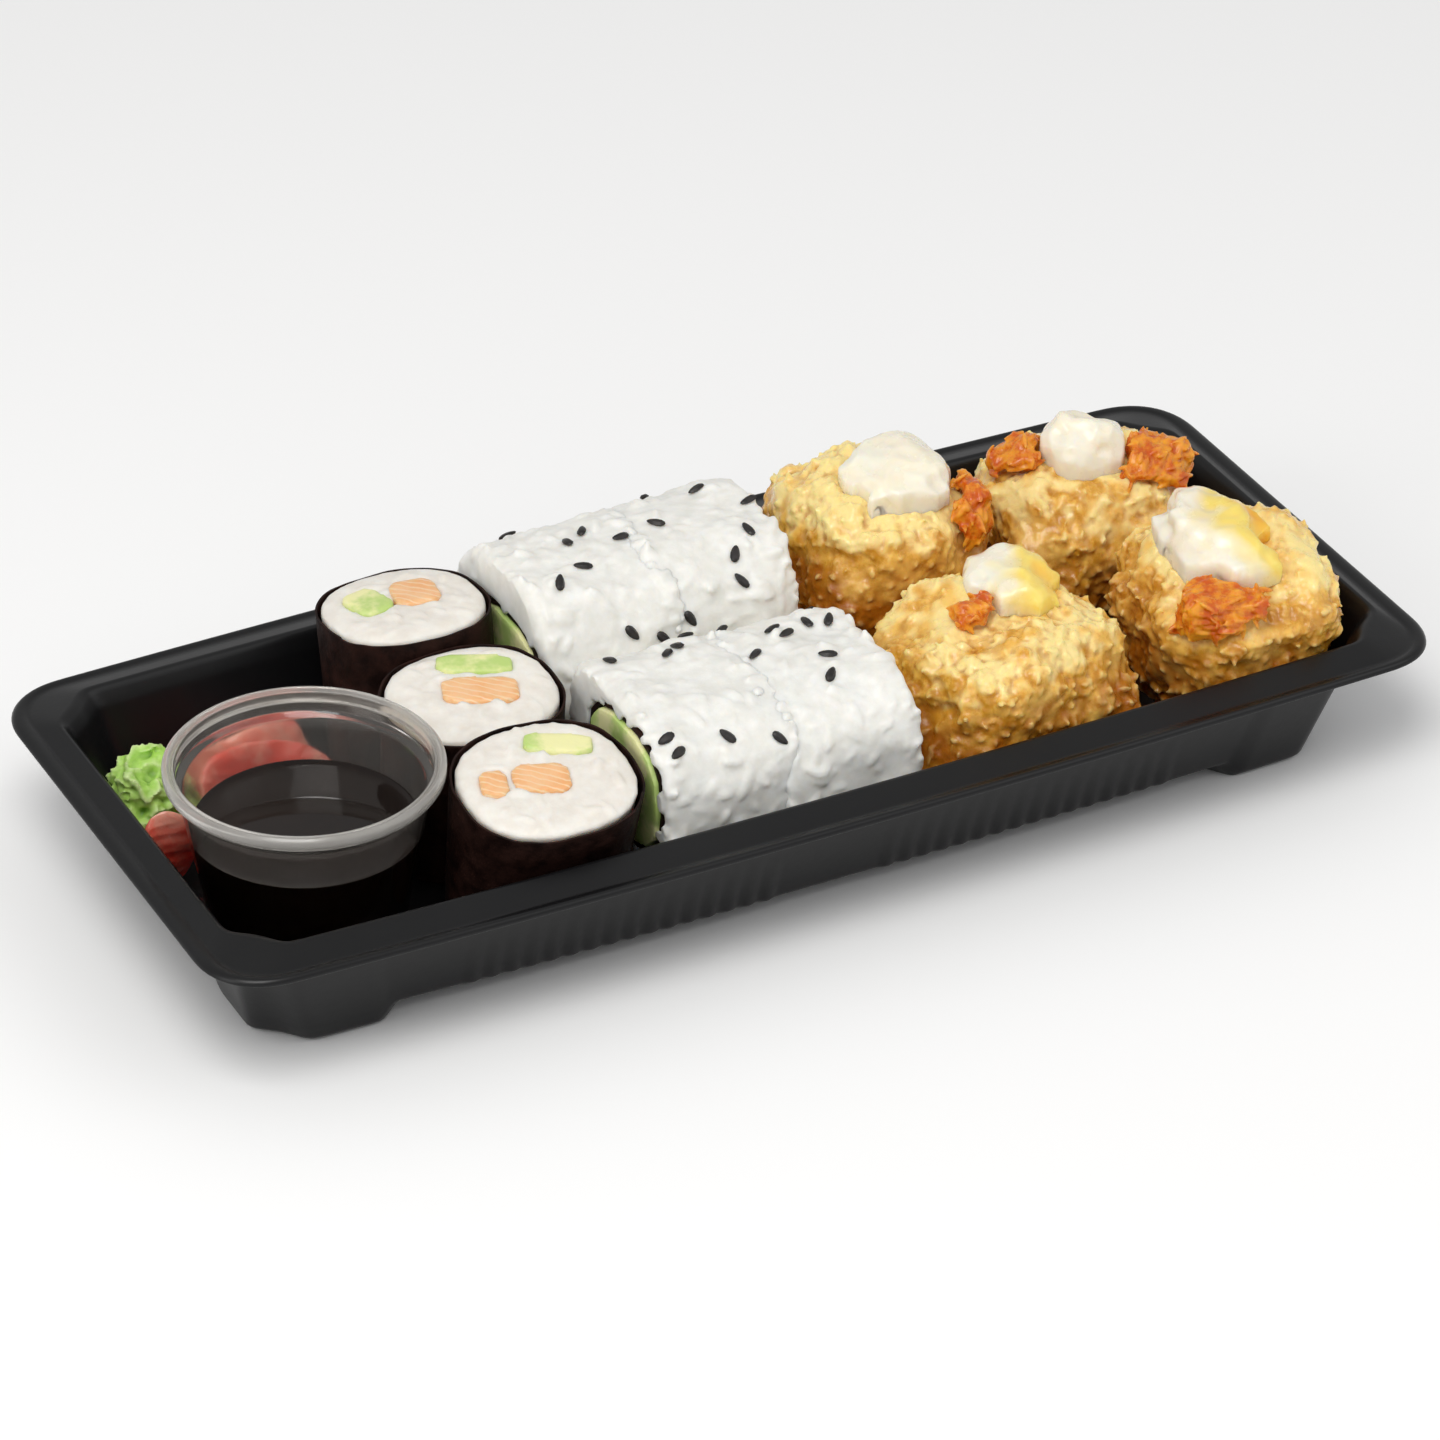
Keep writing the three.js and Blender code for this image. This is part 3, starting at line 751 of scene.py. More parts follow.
def roughen(piece: Piece, layers: tuple[Lumps, ...], seed: float, share: np.ndarray | float = 1.0) -> None:
    """Moves a piece's points along their normals by layers of lumps.

    Args:
        piece: The piece, made of small faces.
        layers: The layers.
        seed: Moves the lumps.
        share: How much of the lumps each point gets.
    """
    points = points_of(piece)
    height = share * sum(layer.heights(points, seed) for layer in layers)
    set_points(piece, points + normals_of(piece) * height[:, None])


def finish_piece(
    piece: Piece, finish: Finishes, slot: str | None, *nodes: str, angle: float = 40.0
) -> None:
    """Smooths and dresses a piece, hangs it on the body and hides the solids that it stands for.

    Args:
        piece: The piece.
        finish: What it is dressed in.
        slot: The record's material slot, if it has one; not used.
        nodes: The solids that it stands for.
        angle: Edges sharper than this many degrees stay sharp.
    """
    select_only(piece)
    bpy.ops.object.shade_smooth_by_angle(angle=math.radians(angle))
    piece.data.materials.clear()
    piece.data.materials.append(finish.material())
    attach(piece, BODY)
    if nodes:
        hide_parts(*nodes)
    LOG.info("%s: %d faces", piece.name, len(piece.data.polygons))


def loft(name: str, rings: np.ndarray, closed: bool = False) -> Piece:
    """Draws a skin from ring to ring by extruding the first one.

    Args:
        name: The new piece's name.
        rings: Rings of equally many points, as an array of ring, point and coordinate.
        closed: True where the last ring meets the first; otherwise both ends are filled.

    Returns:
        The piece, with its faces pointing out.
    """
    path = np.concatenate([rings, rings[:1]]) if closed else rings
    bpy.ops.object.select_all(action="DESELECT")
    bpy.ops.mesh.primitive_circle_add(vertices=path.shape[1], fill_type="NOTHING")
    piece = bpy.context.active_object
    piece.name = name
    bpy.ops.object.mode_set(mode="EDIT")
    for step, ring in enumerate(path):
        if step:
            bpy.ops.mesh.extrude_region_move()
        mesh = bmesh.from_edit_mesh(piece.data)
        if not step:
            order = mesh.verts.layers.int.new("order")
            for index, vertex in enumerate(mesh.verts):
                vertex[order] = index
        order = mesh.verts.layers.int["order"]
        for vertex in mesh.verts:
            if vertex.select:
                vertex.co = ring[vertex[order]]
        bmesh.update_edit_mesh(piece.data)
    bpy.ops.mesh.select_all(action="SELECT")
    if closed:
        bpy.ops.mesh.remove_doubles(threshold=0.000001)
    else:
        bpy.ops.mesh.select_all(action="DESELECT")
        bpy.ops.mesh.select_non_manifold()
        bpy.ops.mesh.edge_face_add()
        bpy.ops.mesh.poke()
        bpy.ops.mesh.select_all(action="SELECT")
    bpy.ops.mesh.normals_make_consistent(inside=False)
    bpy.ops.object.mode_set(mode="OBJECT")
    return piece


def round_rings(rings: np.ndarray, radius: float, closed: bool = False) -> np.ndarray:
    """Rounds the corners that a row of rings turns.

    Args:
        rings: The rings, as an array of ring, point and coordinate.
        radius: How far from a corner the rounding starts.
        closed: True where the last ring meets the first.

    Returns:
        The rings with each corner replaced by three.
    """
    rounded = []
    last = len(rings) - 1
    for index, ring in enumerate(rings):
        if not closed and index in (0, last):
            rounded.append(ring)
            continue
        sides = []
        for other in (rings[index - 1], rings[(index + 1) % len(rings)]):
            reach = float(np.mean(np.linalg.norm(other - ring, axis=1)))
            sides.append(ring + (other - ring) * min(0.4, radius / max(reach, 1e-9)))
        rounded += [sides[0], (sides[0] + 2 * ring + sides[1]) / 4, sides[1]]
    return np.array(rounded)


def superellipse(angle: float, a: float, b: float, n: float) -> tuple[float, float]:
    """Gives a point of a squared oval.

    Args:
        angle: The angle round it.
        a: Its half width.
        b: Its half height.
        n: 2 for an ellipse, more for squarer.

    Returns:
        The point.
    """
    c, s = math.cos(angle), math.sin(angle)
    return (
        a * math.copysign(abs(c) ** (2 / n), c),
        b * math.copysign(abs(s) ** (2 / n), s),
    )


def scatter_points(
    piece: Piece, apart: float, seed: int, shows: np.ndarray
) -> tuple[np.ndarray, np.ndarray]:
    """Throws points over a piece's surface, never nearer to each other than a distance.

    Args:
        piece: The piece, made of small faces.
        apart: That distance.
        seed: Seed of the draw.
        shows: True for each point of the piece that may be chosen.

    Returns:
        The points and the surface normals there.
    """
    rng = np.random.default_rng(seed)
    points, normals = points_of(piece), normals_of(piece)
    order = rng.permutation(np.nonzero(shows)[0])
    grid: dict[tuple[int, int, int], list[int]] = {}
    kept: list[int] = []
    for index in order:
        p = points[index]
        cell = tuple(np.floor(p / apart).astype(int))
        near = (
            other
            for dx in (-1, 0, 1)
            for dy in (-1, 0, 1)
            for dz in (-1, 0, 1)
            for other in grid.get((cell[0] + dx, cell[1] + dy, cell[2] + dz), ())
        )
        if any(float(np.sum((points[other] - p) ** 2)) < apart * apart for other in near):
            continue
        grid.setdefault(cell, []).append(index)
        kept.append(index)
    return points[kept], normals[kept]


def add_array(name: str, pattern: Piece, places: list[Matrix]) -> Piece:
    """Joins many copies of a small pattern into one piece.

    Args:
        name: The new piece's name.
        pattern: The object that is copied, which is removed afterwards.
        places: Where each copy goes.

    Returns:
        The piece.
    """
    base = points_of(pattern)
    faces = [tuple(p.vertices) for p in pattern.data.polygons]
    homogeneous = np.c_[base, np.ones(len(base))]
    stack = np.array([np.array(m) for m in places])
    moved = np.einsum("kij,nj->kni", stack, homogeneous)[:, :, :3].reshape(-1, 3)
    all_faces = [tuple(v + k * len(base) for v in f) for k in range(len(places)) for f in faces]
    mesh = bpy.data.meshes.new(name)
    mesh.from_pydata(moved.tolist(), [], all_faces)
    mesh.update()
    bpy.data.objects.remove(pattern)
    return new_piece(name, mesh)


def join_copies(piece: Piece, pattern: Piece, places: list[Matrix]) -> Piece:
    """Joins many copies of a small pattern to a piece.

    Args:
        piece: The piece, which keeps its name.
        pattern: The object that is copied.
        places: Where each copy goes.

    Returns:
        The piece with the copies.
    """
    copies = add_array(f"{piece.name}_loose", pattern, places)
    select_only(piece)
    copies.select_set(True)
    bpy.ops.object.join()
    return piece


def grain_pattern(length: float, width: float, thick: float, pinch: float = 0.0) -> Piece:
    """Models one grain or seed lying along X.

    Args:
        length: Its length.
        width: Its width.
        thick: Its thickness.
        pinch: How much narrower one end is, from 0 to 1.

    Returns:
        The grain.
    """
    bpy.ops.object.select_all(action="DESELECT")
    lying = (0.0, math.pi / 2, 0.0)
    bpy.ops.mesh.primitive_uv_sphere_add(segments=6, ring_count=6, radius=0.5, rotation=lying)
    grain = bpy.context.active_object
    bpy.ops.object.transform_apply(location=True, rotation=True, scale=True)
    points = points_of(grain)
    taper = 1.0 - pinch * (points[:, 0] + 0.5)
    points[:, 1] *= taper
    points[:, 2] *= taper
    set_points(grain, points * np.array([length, width, thick]))
    return grain


def lie_on(point: np.ndarray, normal: np.ndarray, turn: float, size: Point) -> Matrix:
    """Finds how a grain lies on a surface.

    Args:
        point: Its middle.
        normal: The surface normal, its Z.
        turn: How far it turns about the normal.
        size: Its scale along its own X, Y and Z.

    Returns:
        The grain's matrix.
    """
    up = Vector(normal).normalized()
    side = up.orthogonal().normalized()
    along = side * math.cos(turn) + up.cross(side) * math.sin(turn)
    across = up.cross(along)
    turned = Matrix((along, across, up)).transposed().to_4x4()
    return Matrix.Translation(Vector(point)) @ turned @ Matrix.Diagonal((*size, 1.0))


# ---- the tray ------------------------------------------------------------------------------------------


@dataclass
class Tray:
    """The black thermoformed tray: a rim, a sloping flange, fluted long walls and four corner feet."""

    length: float = 216.4 * MM
    width: float = 92.4 * MM
    height: float = 25.0 * MM
    bow: float = 1.5 * MM
    sheet: float = 0.8 * MM
    side_flange: float = 7.4 * MM
    end_flange: float = 6.4 * MM
    drop: float = 1.8 * MM
    bead: float = 0.35 * MM
    outer_corner: float = 10.0 * MM
    corner_cut: float = 6.6 * MM
    corner_bulge: float = 0.9 * MM
    floor_cut: float = 4.0 * MM
    lean: float = 5.8 * MM
    foot_height: float = 3.0 * MM
    foot_length: float = 11.5 * MM
    foot_slope: float = 3.5 * MM
    flute_pitch: float = 3.4 * MM
    flute_count: int = 16
    flute_start: float = 10.8 * MM
    flute_depth: float = 0.62 * MM
    flute_top: float = 14.0 * MM
    flute_steps: tuple[float, ...] = (0.2, 0.4, 0.55, 0.7, 0.85)
    corner_steps: int = 12
    long_steps: int = 320
    short_steps: int = 110
    corner_rounds: int = 9
    corner_reach: float = 7.0 * MM

    @property
    def rim_half(self) -> tuple[float, float]:
        """Gives the half sizes of the rim of the well."""
        return self.length / 2 - self.end_flange, self.width / 2 - self.side_flange

    def corner_point(self, t: float, cut: float, rounded: bool) -> tuple[float, float]:
        """Gives a point of a corner, from its start at 0 to its end at 1.

        Args:
            t: How far round the corner.
            cut: How far back it is cut.
            rounded: True for an outer corner; the well's corners swell inwards.

        Returns:
            How far the point lies off the corner along X and Y.
        """
        if rounded:
            angle = t * math.pi / 2
            return -cut + cut * math.cos(angle), -cut + cut * math.sin(angle)
        swell = self.corner_bulge * math.sin(math.pi * t) * (cut / self.corner_cut) / math.sqrt(2)
        return -cut * t - swell, -cut * (1 - t) - swell

    def flute(self, x: float, z: float) -> float:
        """Gives how far a flute stands out of a long wall.

        Args:
            x: The place along the wall.
            z: The height.

        Returns:
            How far it stands out there.
        """
        past = abs(x) - self.flute_start
        if not -0.5 <= past / self.flute_pitch <= self.flute_count - 0.5:
            return 0.0
        crest = (0.5 + 0.5 * math.cos(2 * math.pi * past / self.flute_pitch)) ** 0.8
        fade = min(1.0, max(0.0, (self.flute_top - z) / (self.flute_top - self.foot_height)))
        return self.flute_depth * crest * fade

    def outline(
        self, a: float, b: float, cut: float, rounded: bool, foot_z: float, floor_z: float,
        fluted: float = 0.0,
    ) -> np.ndarray:
        """Draws an outline of the tray.

        Args:
            a: Half size along X.
            b: Half size along Y at the corners.
            cut: How far back the corners are cut.
            rounded: True for round corners.
            foot_z: Height at the feet.
            floor_z: Height between the feet.
            fluted: Share of the flutes' depth that shows.

        Returns:
            The points.
        """
        points = []
        for k, (sx, sy) in enumerate(((1, 1), (-1, 1), (-1, -1), (1, -1))):
            is_long = k % 2 == 0
            for step in range(self.corner_steps):
                t = step / self.corner_steps
                dx, dy = self.corner_point(t if is_long else 1 - t, cut, rounded)
                points.append((sx * (a + dx), sy * (b + dy), foot_z))
            end = (a if is_long else b) - cut
            steps = self.long_steps if is_long else self.short_steps
            for step in range(steps):
                f = step / steps
                from_end = 2 * end * min(f, 1 - f)
                rise = min(1.0, max(0.0, (from_end - self.foot_length) / self.foot_slope))
                z = foot_z + (floor_z - foot_z) * rise * rise * (3 - 2 * rise)
                reach = end * (1 - 2 * f)
                if is_long:
                    y = b + self.bow * 4 * f * (1 - f) + fluted * self.flute(reach, z)
                    points.append((sx * reach, sy * y, z))
                else:
                    points.append((sx * a, sy * reach, z))
        return self.round_corners(np.array(points), a, cut)

    def round_corners(self, points: np.ndarray, a: float, cut: float) -> np.ndarray:
        """Rounds an outline where its corners meet its sides.

        Args:
            points: The outline.
            a: Its half size along X.
            cut: How far back its corners are cut.

        Returns:
            The rounded outline.
        """
        near = (np.abs(points[:, 0]) > a - cut - self.corner_reach)[:, None]
        for _ in range(self.corner_rounds):
            evened = (np.roll(points, 1, axis=0) + 2 * points + np.roll(points, -1, axis=0)) / 4
            points = np.where(near, evened, points)
        return points

    def foot_ring(
        self, shrink: float, foot_z: float, floor_z: float, cut: float | None = None, fluted: float = 0.0
    ) -> np.ndarray:
        """Draws an outline measured in from the foot of the walls.

        Args:
            shrink: How far in.
            foot_z: Height at the feet.
            floor_z: Height between the feet.
            cut: How far back the corners are cut, where it isn't as far as the well's.
            fluted: Share of the flutes' depth that shows.

        Returns:
            The points.
        """
        a, b = self.rim_half
        cut = self.corner_cut if cut is None else cut
        a, b = a - self.lean - shrink, b - self.lean - shrink
        return self.outline(a, b, cut, False, foot_z, floor_z, fluted)

    def wall_ring(self, rise: float, grow: float, z: float) -> np.ndarray:
        """Draws an outline on the walls.

        Args:
            rise: How far up the walls, from 0 at their foot to 1 at the rim.
            grow: How far outside them.
            z: Its height.

        Returns:
            The points.
        """
        a, b = self.rim_half
        out = self.lean * (rise - 1) + grow
        return self.outline(a + out, b + out, self.corner_cut, False, z, z)

    def flange_ring(self, end: float, side: float, z: float) -> np.ndarray:
        """Draws an outline on the flange.

        Args:
            end: How far out it is at the short ends, from 0 at the rim to 1 at the edge.
            side: How far out it is along the long sides.
            z: Its height.

        Returns:
            The points.
        """
        a, b = self.rim_half
        reach_a, reach_b = self.end_flange * end, self.side_flange * side
        return self.outline(a + reach_a, b + reach_b, self.outer_corner * side, True, z, z)

    def build(self) -> None:
        """Builds the tray from the middle of its floor, over the flange and back under the floor."""
        t, top, foot = self.sheet, self.height, self.foot_height
        floor, band = foot + self.sheet, self.height - self.drop
        inset = self.floor_cut
        inside = [
            # the floor, down into the feet
            self.foot_ring(26 * MM, floor, floor, inset),
            self.foot_ring(13.4 * MM, floor, floor, inset),
            self.foot_ring(12.4 * MM, t, floor, inset),
            # up the walls to the rim
            self.foot_ring(1.8 * MM, t, floor),
            self.foot_ring(0.7 * MM, t + MM, floor + MM),
            self.wall_ring(0.9, -t, top - 3 * MM),
            self.wall_ring(1, -0.3 * MM, top - 0.7 * MM),
            self.wall_ring(1, 0.5 * MM, top),
            # out over the flange and its bead
            self.flange_ring(0.52, 0.74, band),
            self.flange_ring(0.68, 0.86, band + self.bead),
            self.flange_ring(0.88, 0.95, band + 0.8 * self.bead),
            self.flange_ring(1, 1, band - 0.4 * MM),
        ]
        wall_top = self.wall_ring(0.9, 0.1 * MM, top - 3.6 * MM)
        wall_foot = self.foot_ring(0, MM, foot + MM, None, 1.0)
        wall = []
        for share in self.flute_steps:
            ring = wall_top + (self.foot_ring(0, MM, foot + MM) - wall_top) * share
            for point in ring:
                if abs(point[1]) > abs(self.rim_half[1]) - self.lean - MM:
                    point[1] += math.copysign(self.flute(point[0], point[2]), point[1])
            wall.append(ring)
        outside = [
            # back under the flange and down the walls
            self.flange_ring(0.99, 0.99, band - 0.75 * MM),
            self.flange_ring(0.6, 0.8, band - t),
            self.wall_ring(1, 1.2 * MM, top - 1.5 * MM),
            wall_top,
            *wall,
            wall_foot,
            # under the feet and the floor
            self.foot_ring(1.2 * MM, 0, foot, None, 0.6),
            self.foot_ring(11.4 * MM, 0, foot, inset),
            self.foot_ring(12.6 * MM, foot, foot, inset),
            self.foot_ring(26 * MM, foot, foot, inset),
        ]
        piece = loft("tray_body", round_rings(np.array(inside + outside), 0.5 * MM))
        finish_piece(piece, Finishes.TRAY, "tray", "tray", angle=50.0)


# ---- the sauce cup -------------------------------------------------------------------------------------


@dataclass
class SauceCup:
    """The clear cup, thicker and hazier at its curled lip, and the soy sauce in it."""

    x: float = -78.3 * MM
    y: float = -9.4 * MM
    foot_z: float = 4.15 * MM
    rim_radius: float = 21.9 * MM
    height: float = 30.9 * MM
    base_radius: float = 14.8 * MM
    wall: float = 0.9 * MM
    ledge: float = 4.0 * MM
    ledge_radius: float = 19.7 * MM
    soy_depth: float = 11.8 * MM
    meniscus: float = 0.5 * MM
    into_wall: float = 0.12 * MM
    lip_depth: float = 2.6 * MM
    lip_radius: float = 20.1 * MM
    corner: float = 0.2 * MM
    around: int = 128

    def radius_at(self, depth: float) -> float:
        """Gives the outer radius of the wall at a depth below the rim."""
        share = (depth - self.ledge) / (self.height - self.ledge)
        return self.ledge_radius + (self.base_radius + 0.6 * MM - self.ledge_radius) * share

    def turn(self, name: str, profile: list[tuple[float, float]]) -> Piece:
        """Turns a profile round the cup's axis.

        Args:
            name: The new piece's name.
            profile: Radius and height of each corner, from the axis back to the axis.

        Returns:
            The piece.
        """
        angles = np.linspace(0.0, 2 * math.pi, self.around, endpoint=False)
        rings = []
        for r, z in profile:
            height = np.full(self.around, self.foot_z + z)
            rings.append(np.c_[self.x + r * np.cos(angles), self.y + r * np.sin(angles), height])
        return loft(name, round_rings(np.array(rings), self.corner))

    def build(self) -> None:
        """Builds the cup and its sauce."""
        r, h, base = self.rim_radius, self.height, self.base_radius
        middle = 0.4 * MM
        outer = [
            # its raised bottom and the ring that it stands on
            (middle, 0.6 * MM), (base - 2.0 * MM, 0.6 * MM), (base - 1.4 * MM, 0.0), (base - 0.4 * MM, 0.0),
            # up the wall to the ledge
            (base + 0.4 * MM, 1.2 * MM), (self.radius_at(self.ledge + MM), h - self.ledge - MM),
            (self.radius_at(self.ledge), h - self.ledge),
            # out under the lip
            (20.3 * MM, h - 2.2 * MM), (r - 0.3 * MM, h - 2.3 * MM), (r, h - 1.7 * MM), (r, h - 0.5 * MM),
        ]
        inner = [
            # over the lip and its groove
            (r - 0.6 * MM, h), (r - 0.95 * MM, h - 0.1 * MM), (r - 1.15 * MM, h - 0.7 * MM),
            (r - 1.4 * MM, h - 0.75 * MM), (r - 1.6 * MM, h - 0.35 * MM), (r - 1.9 * MM, h - 0.4 * MM),
            # down past the ledge to the bottom
            (19.9 * MM, h - self.ledge + 0.4 * MM),
            (self.ledge_radius - self.wall, h - self.ledge - 0.3 * MM),
            (self.radius_at(self.soy_depth) - self.wall, h - self.soy_depth), (base - 0.6 * MM, 1.9 * MM),
            (base - 1.6 * MM, 1.4 * MM), (middle, 1.4 * MM),
        ]
        cup = self.turn("cup_wall", outer + inner)
        finish_piece(cup, Finishes.CUP, "cup", "sauce_cup", angle=60.0)
        cup.data.materials.append(Finishes.CUP_LIP.material())
        cup.data.materials.append(Finishes.CUP_FOOT.material())
        for face in cup.data.polygons:
            out = math.hypot(face.center.x - self.x, face.center.y - self.y)
            if face.center.z > self.foot_z + h - self.lip_depth and out > self.lip_radius:
                face.material_index = 1
            # Below the sauce level the faces take the clearer copy of the plastic, which darkens them:
            # painted shade.
            elif face.center.z < self.foot_z + h - self.soy_depth:
                face.material_index = 2
        level = h - self.soy_depth
        top = self.radius_at(self.soy_depth) - self.wall + self.into_wall
        sauce = [
            (middle, 1.3 * MM), (base - 1.6 * MM, 1.3 * MM), (base - 0.6 * MM + self.into_wall, 1.9 * MM),
            (top + 0.1 * MM, level + self.meniscus), (top - 0.25 * MM, level + self.meniscus),
            (top - 0.8 * MM, level + 0.1 * MM), (top - 2.0 * MM, level), (middle, level),
        ]
        liquid = self.turn("cup_sauce", sauce)
        finish_piece(liquid, Finishes.SOY, "soy", "soy_sauce", angle=60.0)


# ---- rolls ---------------------------------------------------------------------------------------------


@dataclass(frozen=True)
class Grains:
    """How cooked rice grains lie on a piece: sunk half way into it, in every direction."""

    length: float = 5.0 * MM
    width: float = 2.2 * MM
    thick: float = 1.9 * MM
    apart: float = 2.0 * MM
    sunk: float = 0.55 * MM
    uneven: float = 0.12
    lean: float = 0.16
    voxel: float = 0.4 * MM

    def lay_on(self, piece: Piece, seed: int, shows: np.ndarray) -> Piece:
        """Covers a piece with grains that cling to it.

        Args:
            piece: The rice under them, made of small faces.
            seed: Seed of the draw.
            shows: True for each point of the piece where a grain may lie.

        Returns:
            The piece with its grains.
        """
        points, normals = scatter_points(piece, self.apart, seed, shows)
        rng = np.random.default_rng(seed + 1)
        places = []
        for point, normal in zip(points, normals):
            size = tuple(rng.normal(1.0, self.uneven, 3))
            sunk = self.sunk + rng.normal(0.0, self.uneven) * MM
            leaning = normal + rng.normal(0.0, self.lean, 3)
            places.append(lie_on(point - normal * sunk, leaning, rng.uniform(0.0, math.pi), size))
        piece = join_copies(piece, grain_pattern(self.length, self.width, self.thick), places)
        remesh(piece, self.voxel, rounds=2)
        return piece


@dataclass
class NoriRoll:
    """A roll stood on end: its nori sleeve, rice and fillings.

    Attributes:
        name: Start of the names of its solids.
        top: Middle of its cut face.
        half: Half sizes of the cut face.
        tilt: How far the cut face leans, in degrees.
        foot: Where its middle stands, along X and Y.
        fillings: What fills it, with its finish.
        seam: Where the nori's overlap ends, in degrees round the roll.
        sheet: Thickness of the nori; solid_sheet is that of the solid.
        clearance: How far inside the solid's outline the nori stays.
        slack: How far inside the nori the rice stays, less by brim at the cut face.
        grow: How much the fillings swell.
        face_depth: How far below the cut face grains may lie.
        face_share: How far out to the edge of the cut face they may lie.
    """

    name: str
    top: Point
    half: tuple[float, float]
    tilt: float
    foot: tuple[float, float]
    fillings: dict[str, Finishes]
    seam: float = 200.0
    foot_half: tuple[float, float] = (14.1, 9.9)
    foot_z: float = 4.15
    sheet: float = 0.32
    solid_sheet: float = 0.7
    clearance: float = 0.12
    slack: float = 0.2
    brim: float = 0.15
    brim_height: float = 1.5
    grow: float = 0.3
    face_depth: float = 1.2
    face_share: float = 0.5
    squareness: float = 2.4
    overlap: float = 0.22
    overlap_fade: float = 60.0
    wrinkle: float = 0.16
    edge_drop: float = 0.35
    edge_wave: float = 0.22
    around: int = 144
    rows: int = 16

    def ring(self, inset: float, t: float, seed: float) -> np.ndarray:
        """Draws a ring of the sleeve.

        Args:
            inset: How far in from its outside, in millimetres.
            t: From 0 at its foot to 1 at its top.
            seed: Moves the wrinkles.

        Returns:
            The ring's points, in metres.
        """
        tilt = math.radians(self.tilt) * t
        points = []
        for step in range(self.around):
            angle = 2 * math.pi * step / self.around
            c, s = math.cos(angle), math.sin(angle)
            past_seam = (math.degrees(angle) - self.seam) % 360.0
            overlap = self.overlap * math.exp(-past_seam / self.overlap_fade)
            wrinkle = self.wrinkle * noise.noise(Vector((c * 4.0, s * 4.0, t * 2.5 + seed)))
            reach = wrinkle - inset - self.clearance + overlap
            u, v = superellipse(angle, self.half[0] + reach, self.half[1] + reach, self.squareness)
            width = self.foot_half[0] / self.half[0] * (1 - t) + t
            depth = self.foot_half[1] / self.half[1] * (1 - t) + t
            wave = self.edge_wave * noise.noise(Vector((c * 3.0, s * 3.0, seed + 9.0)))
            edge = (wave - self.edge_drop) * t**8
            points.append(
                (
                    self.foot[0] * (1 - t) + self.top[0] * t + u * width,
                    self.foot[1] * (1 - t) + self.top[1] * t + v * depth * math.cos(tilt),
                    self.foot_z * (1 - t) + self.top[2] * t + v * math.sin(tilt) + edge,
                )
            )
        return np.array(points) * MM

    def sleeve(self) -> None:
        """Builds the nori sleeve with its overlap, wrinkles and uneven edge."""
        seed = self.top[1]
        heights = np.linspace(0.0, 1.0, self.rows)
        outside = [self.ring(0.0, t, seed) for t in heights]
        inside = [self.ring(self.sheet, t, seed) for t in heights[::-1]]
        piece = loft(f"{self.name}_sheet", np.array(outside + inside), closed=True)
        finish_piece(piece, Finishes.NORI, "nori", f"{self.name}_nori", angle=60.0)

    def rice(self) -> None:
        """Builds the rice, with grains over its cut face."""
        piece = solid_copy(f"{self.name}_rice", f"{self.name}_grains")
        remesh(piece, 0.5 * MM)
        points, normals = points_of(piece), normals_of(piece)
        top = self.top[2] * MM + (points[:, 1] - self.top[1] * MM) * math.sin(math.radians(self.tilt))
        brim = np.clip((points[:, 2] - top) / (self.brim_height * MM) + 1.0, 0.0, 1.0)
        swell = (self.solid_sheet - self.sheet - self.slack + self.brim * brim) * MM
        swell *= 1.0 - np.abs(normals[:, 2])
        set_points(piece, points + normals * swell[:, None])
        offset = (points[:, :2] / MM - np.array(self.top[:2])) / np.array(self.half)
        aside = np.abs(offset) ** self.squareness
        shows = (points[:, 2] > top - self.face_depth * MM) & (normals[:, 2] > 0.9)
        shows &= aside.sum(axis=1) < self.face_share
        piece = Grains(apart=1.9 * MM, sunk=0.72 * MM).lay_on(piece, int(self.top[2] * 10), shows)
        finish_piece(piece, Finishes.ROLL_RICE, "rice", f"{self.name}_rice")

    def build(self) -> None:
        """Builds the sleeve, the rice and what fills it."""
        self.sleeve()
        self.rice()
        for kind, finish in self.fillings.items():
            block = solid_copy(f"{self.name}_{kind}", f"{self.name}_{kind}_slice")
            remesh(block, 0.35 * MM, rounds=3)
            set_points(block, points_of(block) + normals_of(block) * self.grow * MM)
            slot = "avocado" if finish is Finishes.AVOCADO else "salmon"
            finish_piece(block, finish, slot, f"{self.name}_{kind}")


